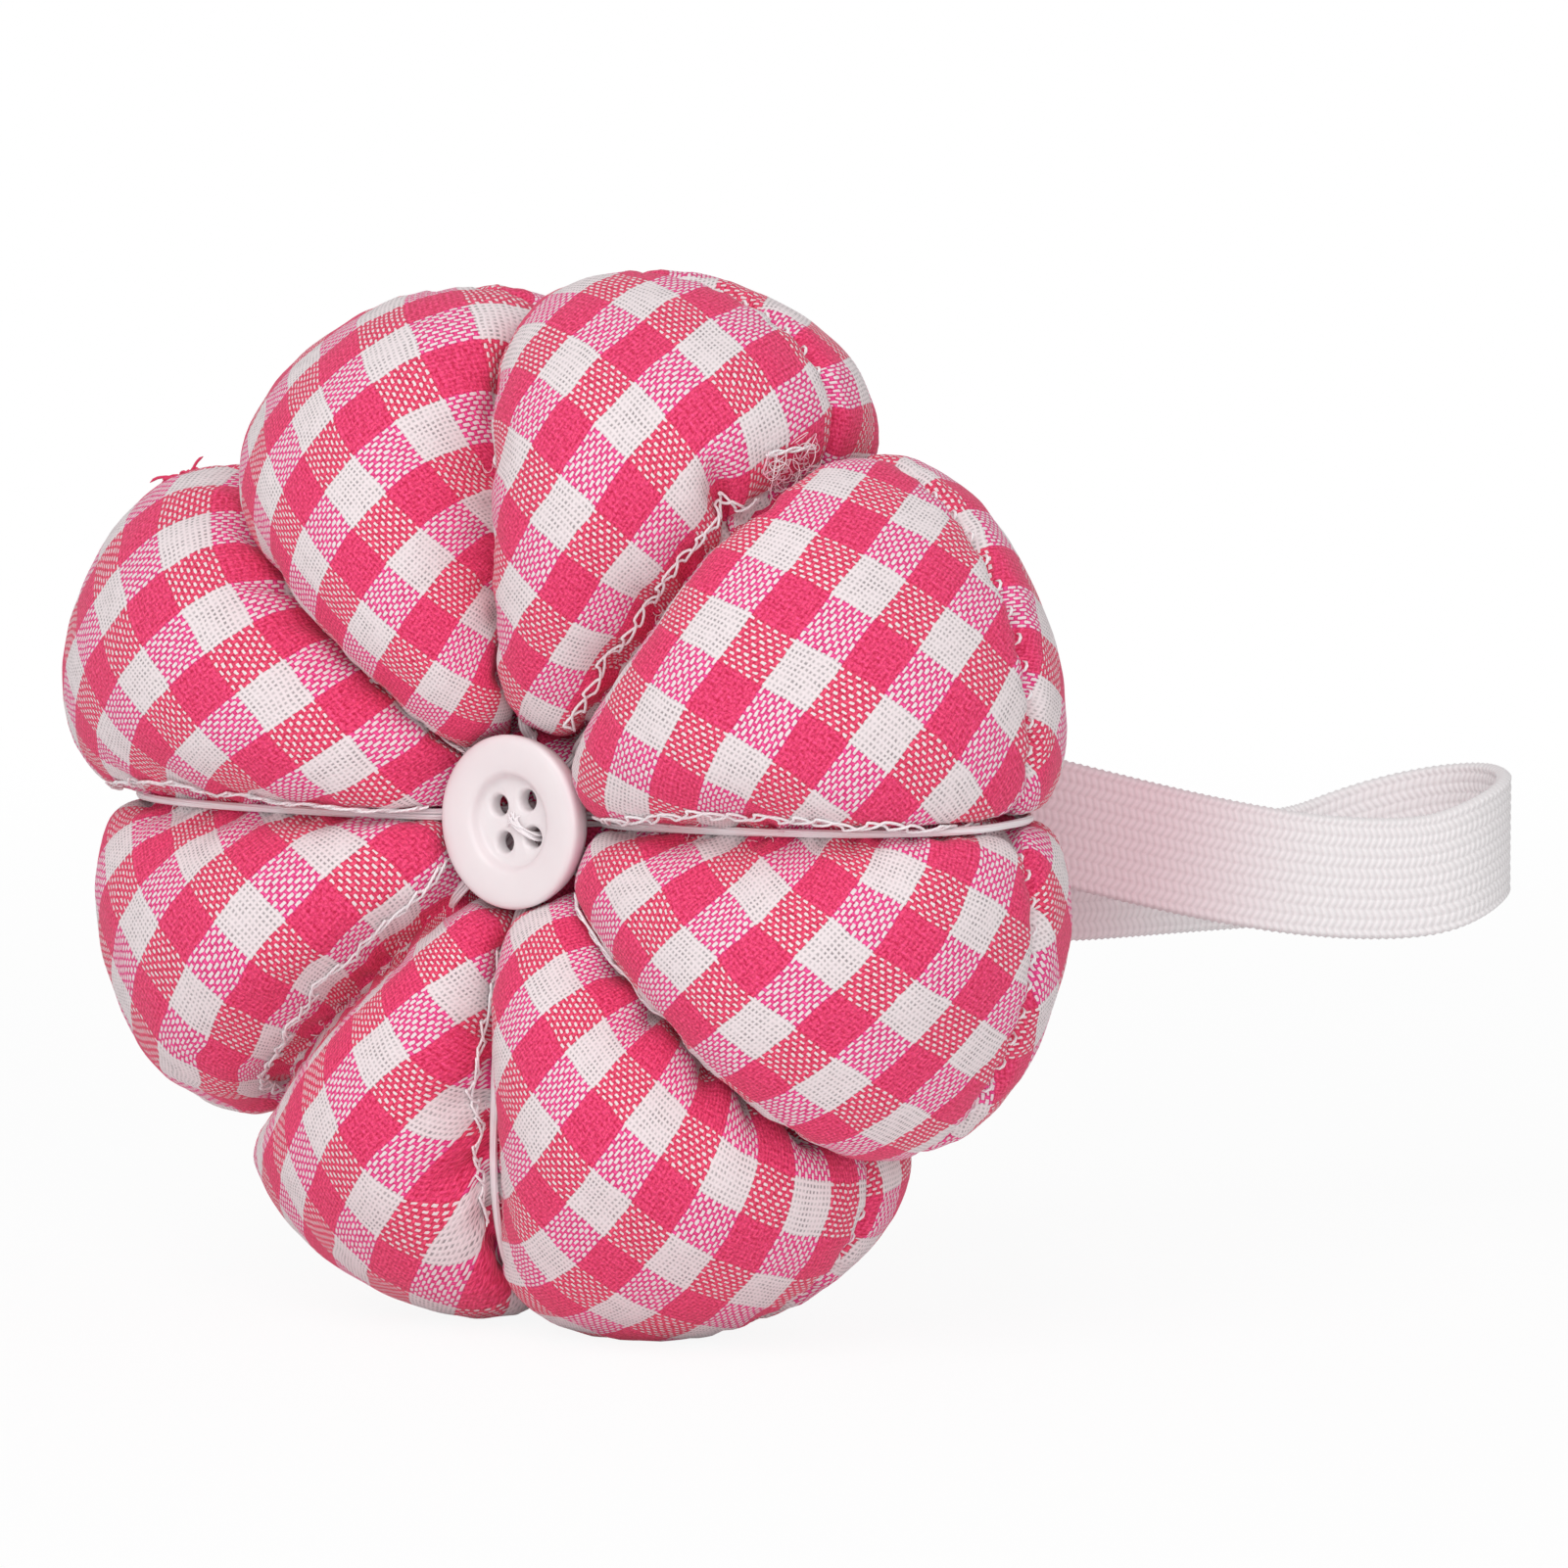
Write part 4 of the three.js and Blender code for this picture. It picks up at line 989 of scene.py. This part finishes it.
# ---------------------------------------------------------------------------------------------
# Elastic band. White 9.5 mm braided elastic: covered rubber cores lie along it as a dozen ribs, and
# the braid's yarns zigzag across them. One length is folded into a loop, and its ends are tacked.
# ---------------------------------------------------------------------------------------------
band_width, band_thick, rib_count, rib_share, yarn_pitch = 9.5, 1.2, 12, 0.2, 0.6
edge_loop, edge_from = 0.012, 4.5
swing = np.radians(35)
ahead = np.array([np.sin(swing), np.cos(swing), 0])
sideways = np.array([np.cos(swing), -np.sin(swing), 0])
tack_place = np.array([0, 11.2, 0])
run_start, run_end, blend_start, run_split = 0.55, 61.6, 2, 36.6
end_radius, loop_half, closed_half = 11.0, 10.6, 0.75
near_heights, far_heights, end_rise = (1.5, -7.9), (-3.2, -9.1), 3.5
open_before, open_over, near_level, near_over, far_over = 0.15, 1.2, 0.1, 0.85, 0.68
band_step, band_eased = 0.15, 400


def loop_line():
    """The middle of the band from the tack along the near run, round the end and back along the far run."""
    reach = np.linspace(run_start, run_end, 400)
    share = (reach - run_start) / (run_end - run_start)
    opened = np.clip((share + open_before) / open_over, 0, 1)
    offset = closed_half + (loop_half - closed_half) * opened ** 2 * (3 - 2 * opened)
    near_fall, far_fall = np.clip((share - near_level) / near_over, 0, 1), np.clip(share / far_over, 0, 1)
    near_height, far_height = (heights[0] + (heights[1] - heights[0]) * fall ** 2 * (3 - 2 * fall)
                               for heights, fall in ((near_heights, near_fall), (far_heights, far_fall)))
    turn = np.linspace(np.pi / 2, -np.pi / 2, 200)[1:-1]
    end_height = np.linspace(near_heights[1], far_heights[1], 200)[1:-1] + end_rise * np.cos(turn)
    reach = np.r_[reach, run_end + end_radius * np.cos(turn), reach[::-1]]
    offset = np.r_[offset, loop_half * np.sin(turn), -offset[::-1]]
    height = np.r_[near_height, end_height, far_height[::-1]]
    line = tack_place + reach[:, None] * ahead + offset[:, None] * sideways
    line[:, 2] += height
    length = np.append(0, np.cumsum(np.linalg.norm(np.diff(line, axis=0), axis=1)))
    even = np.arange(0, length[-1], band_step)
    return even, np.stack([np.interp(even, length, line[:, k]) for k in range(3)], 1)


band_along, band_line = loop_line()
ease(band_line, band_eased)
forward = unit(np.gradient(band_line, axis=0))
face_out = unit(np.cross(forward, [0, 0, 1]))
upward = np.cross(face_out, forward)
# Across one face and back along the other, with the ribs standing out and the edges rounded.
rib = np.linspace(-0.5, 0.5, rib_count * 6 + 1)
crest = 0.5 * band_thick * (
    1 - rib_share + rib_share * np.abs(np.cos(rib * rib_count * np.pi + np.pi / 2)) ** 0.7)
crest *= np.clip((0.5 - np.abs(rib)) * 24, 0, 1) ** 0.5
section_w = np.r_[rib, rib[::-1][1:-1]] * band_width
section_t = np.r_[crest, -crest[::-1][1:-1]]
loops = 1 + np.sin(band_along * 2 * np.pi / yarn_pitch)[:, None]
picot = 1 - edge_loop * loops * (np.abs(section_w) > edge_from)
points = (band_line[:, None] + (section_w * picot)[..., None] * upward[:, None]
          + section_t[None, :, None] * face_out[:, None]).reshape(-1, 3)
size = len(section_w)
i, j, following = tube_grid(len(band_line), size)
faces = np.stack([i * size + j, (i + 1) * size + j, (i + 1) * size + following, i * size + following], 1)
places = np.stack([np.stack([band_along[a], section_w[b]], 1) for a, b in
                   ((i, j), (i + 1, j), (i + 1, following), (i, following))], 1).reshape(-1, 2)

# Braided polyester over rubber: chalk white and matt, with faint grey slanting lines between yarns that are
# painted shade, and painted pink bounce light from the cloth where it lies by the cushion.
half_length, bounce_from, bounce_to = band_along[-1] / 2, 54, 36
braid, tree = new_tree("braided_polyester_elastic")
lay = add(tree, "SeparateXYZ", (add(tree, "UVMap", uv_map="lay"),)).outputs
row = add(tree, "Math", (lay["Y"], rib_count / band_width), operation="MULTIPLY")
zigzag = add(tree, "Math", (row, 1.0), operation="PINGPONG")
zigzag = add(tree, "Math", (zigzag, 0.6), operation="MULTIPLY")
slant = add(tree, "Math", (lay["X"], 1 / yarn_pitch, zigzag), operation="MULTIPLY_ADD")
slant = add(tree, "Math", (slant, 2 * np.pi), operation="MULTIPLY")
yarn_wave = add(tree, "Math", (slant,), operation="SINE")
# Painted shade: greyer in the low parts of the yarn wave, between the yarns.
tone = add(tree, "MapRange", (yarn_wave, -1.0, 0.2))
tone = add(tree, "Mix", (tone, linear("#E6E1E2"), linear("#F2EEEF")), data_type="RGBA")
# Painted pink bounce light from the cushion, on both runs near the tack, fading towards the loop's far end.
from_end = add(tree, "Math", (lay["X"], half_length), operation="SUBTRACT")
from_end = add(tree, "Math", (from_end,), operation="ABSOLUTE")
pink_bounce = add(tree, "MapRange", (from_end, half_length - bounce_from, half_length - bounce_to),
             interpolation_type="SMOOTHSTEP")
tone = add(tree, "Mix", (pink_bounce, tone, linear("#F0D6DC")), data_type="RGBA", blend_type="MULTIPLY")
bump = add(tree, "Bump", {"Height": yarn_wave, "Strength": 0.35, "Distance": 0.00008})
braid_finish = add(tree, "BsdfPrincipled", {"Base Color": tone, "Roughness": 0.8, "Specular IOR Level": 0.25,
                                            "Sheen Weight": 0.15, "Sheen Roughness": 0.5, "Normal": bump})
add(tree, "OutputMaterial", {"Surface": braid_finish})
band = make_piece("elastic_band", points, faces, places, braid)
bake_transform(band)
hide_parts("elastic_near_run", "elastic_far_run", "elastic_bend")
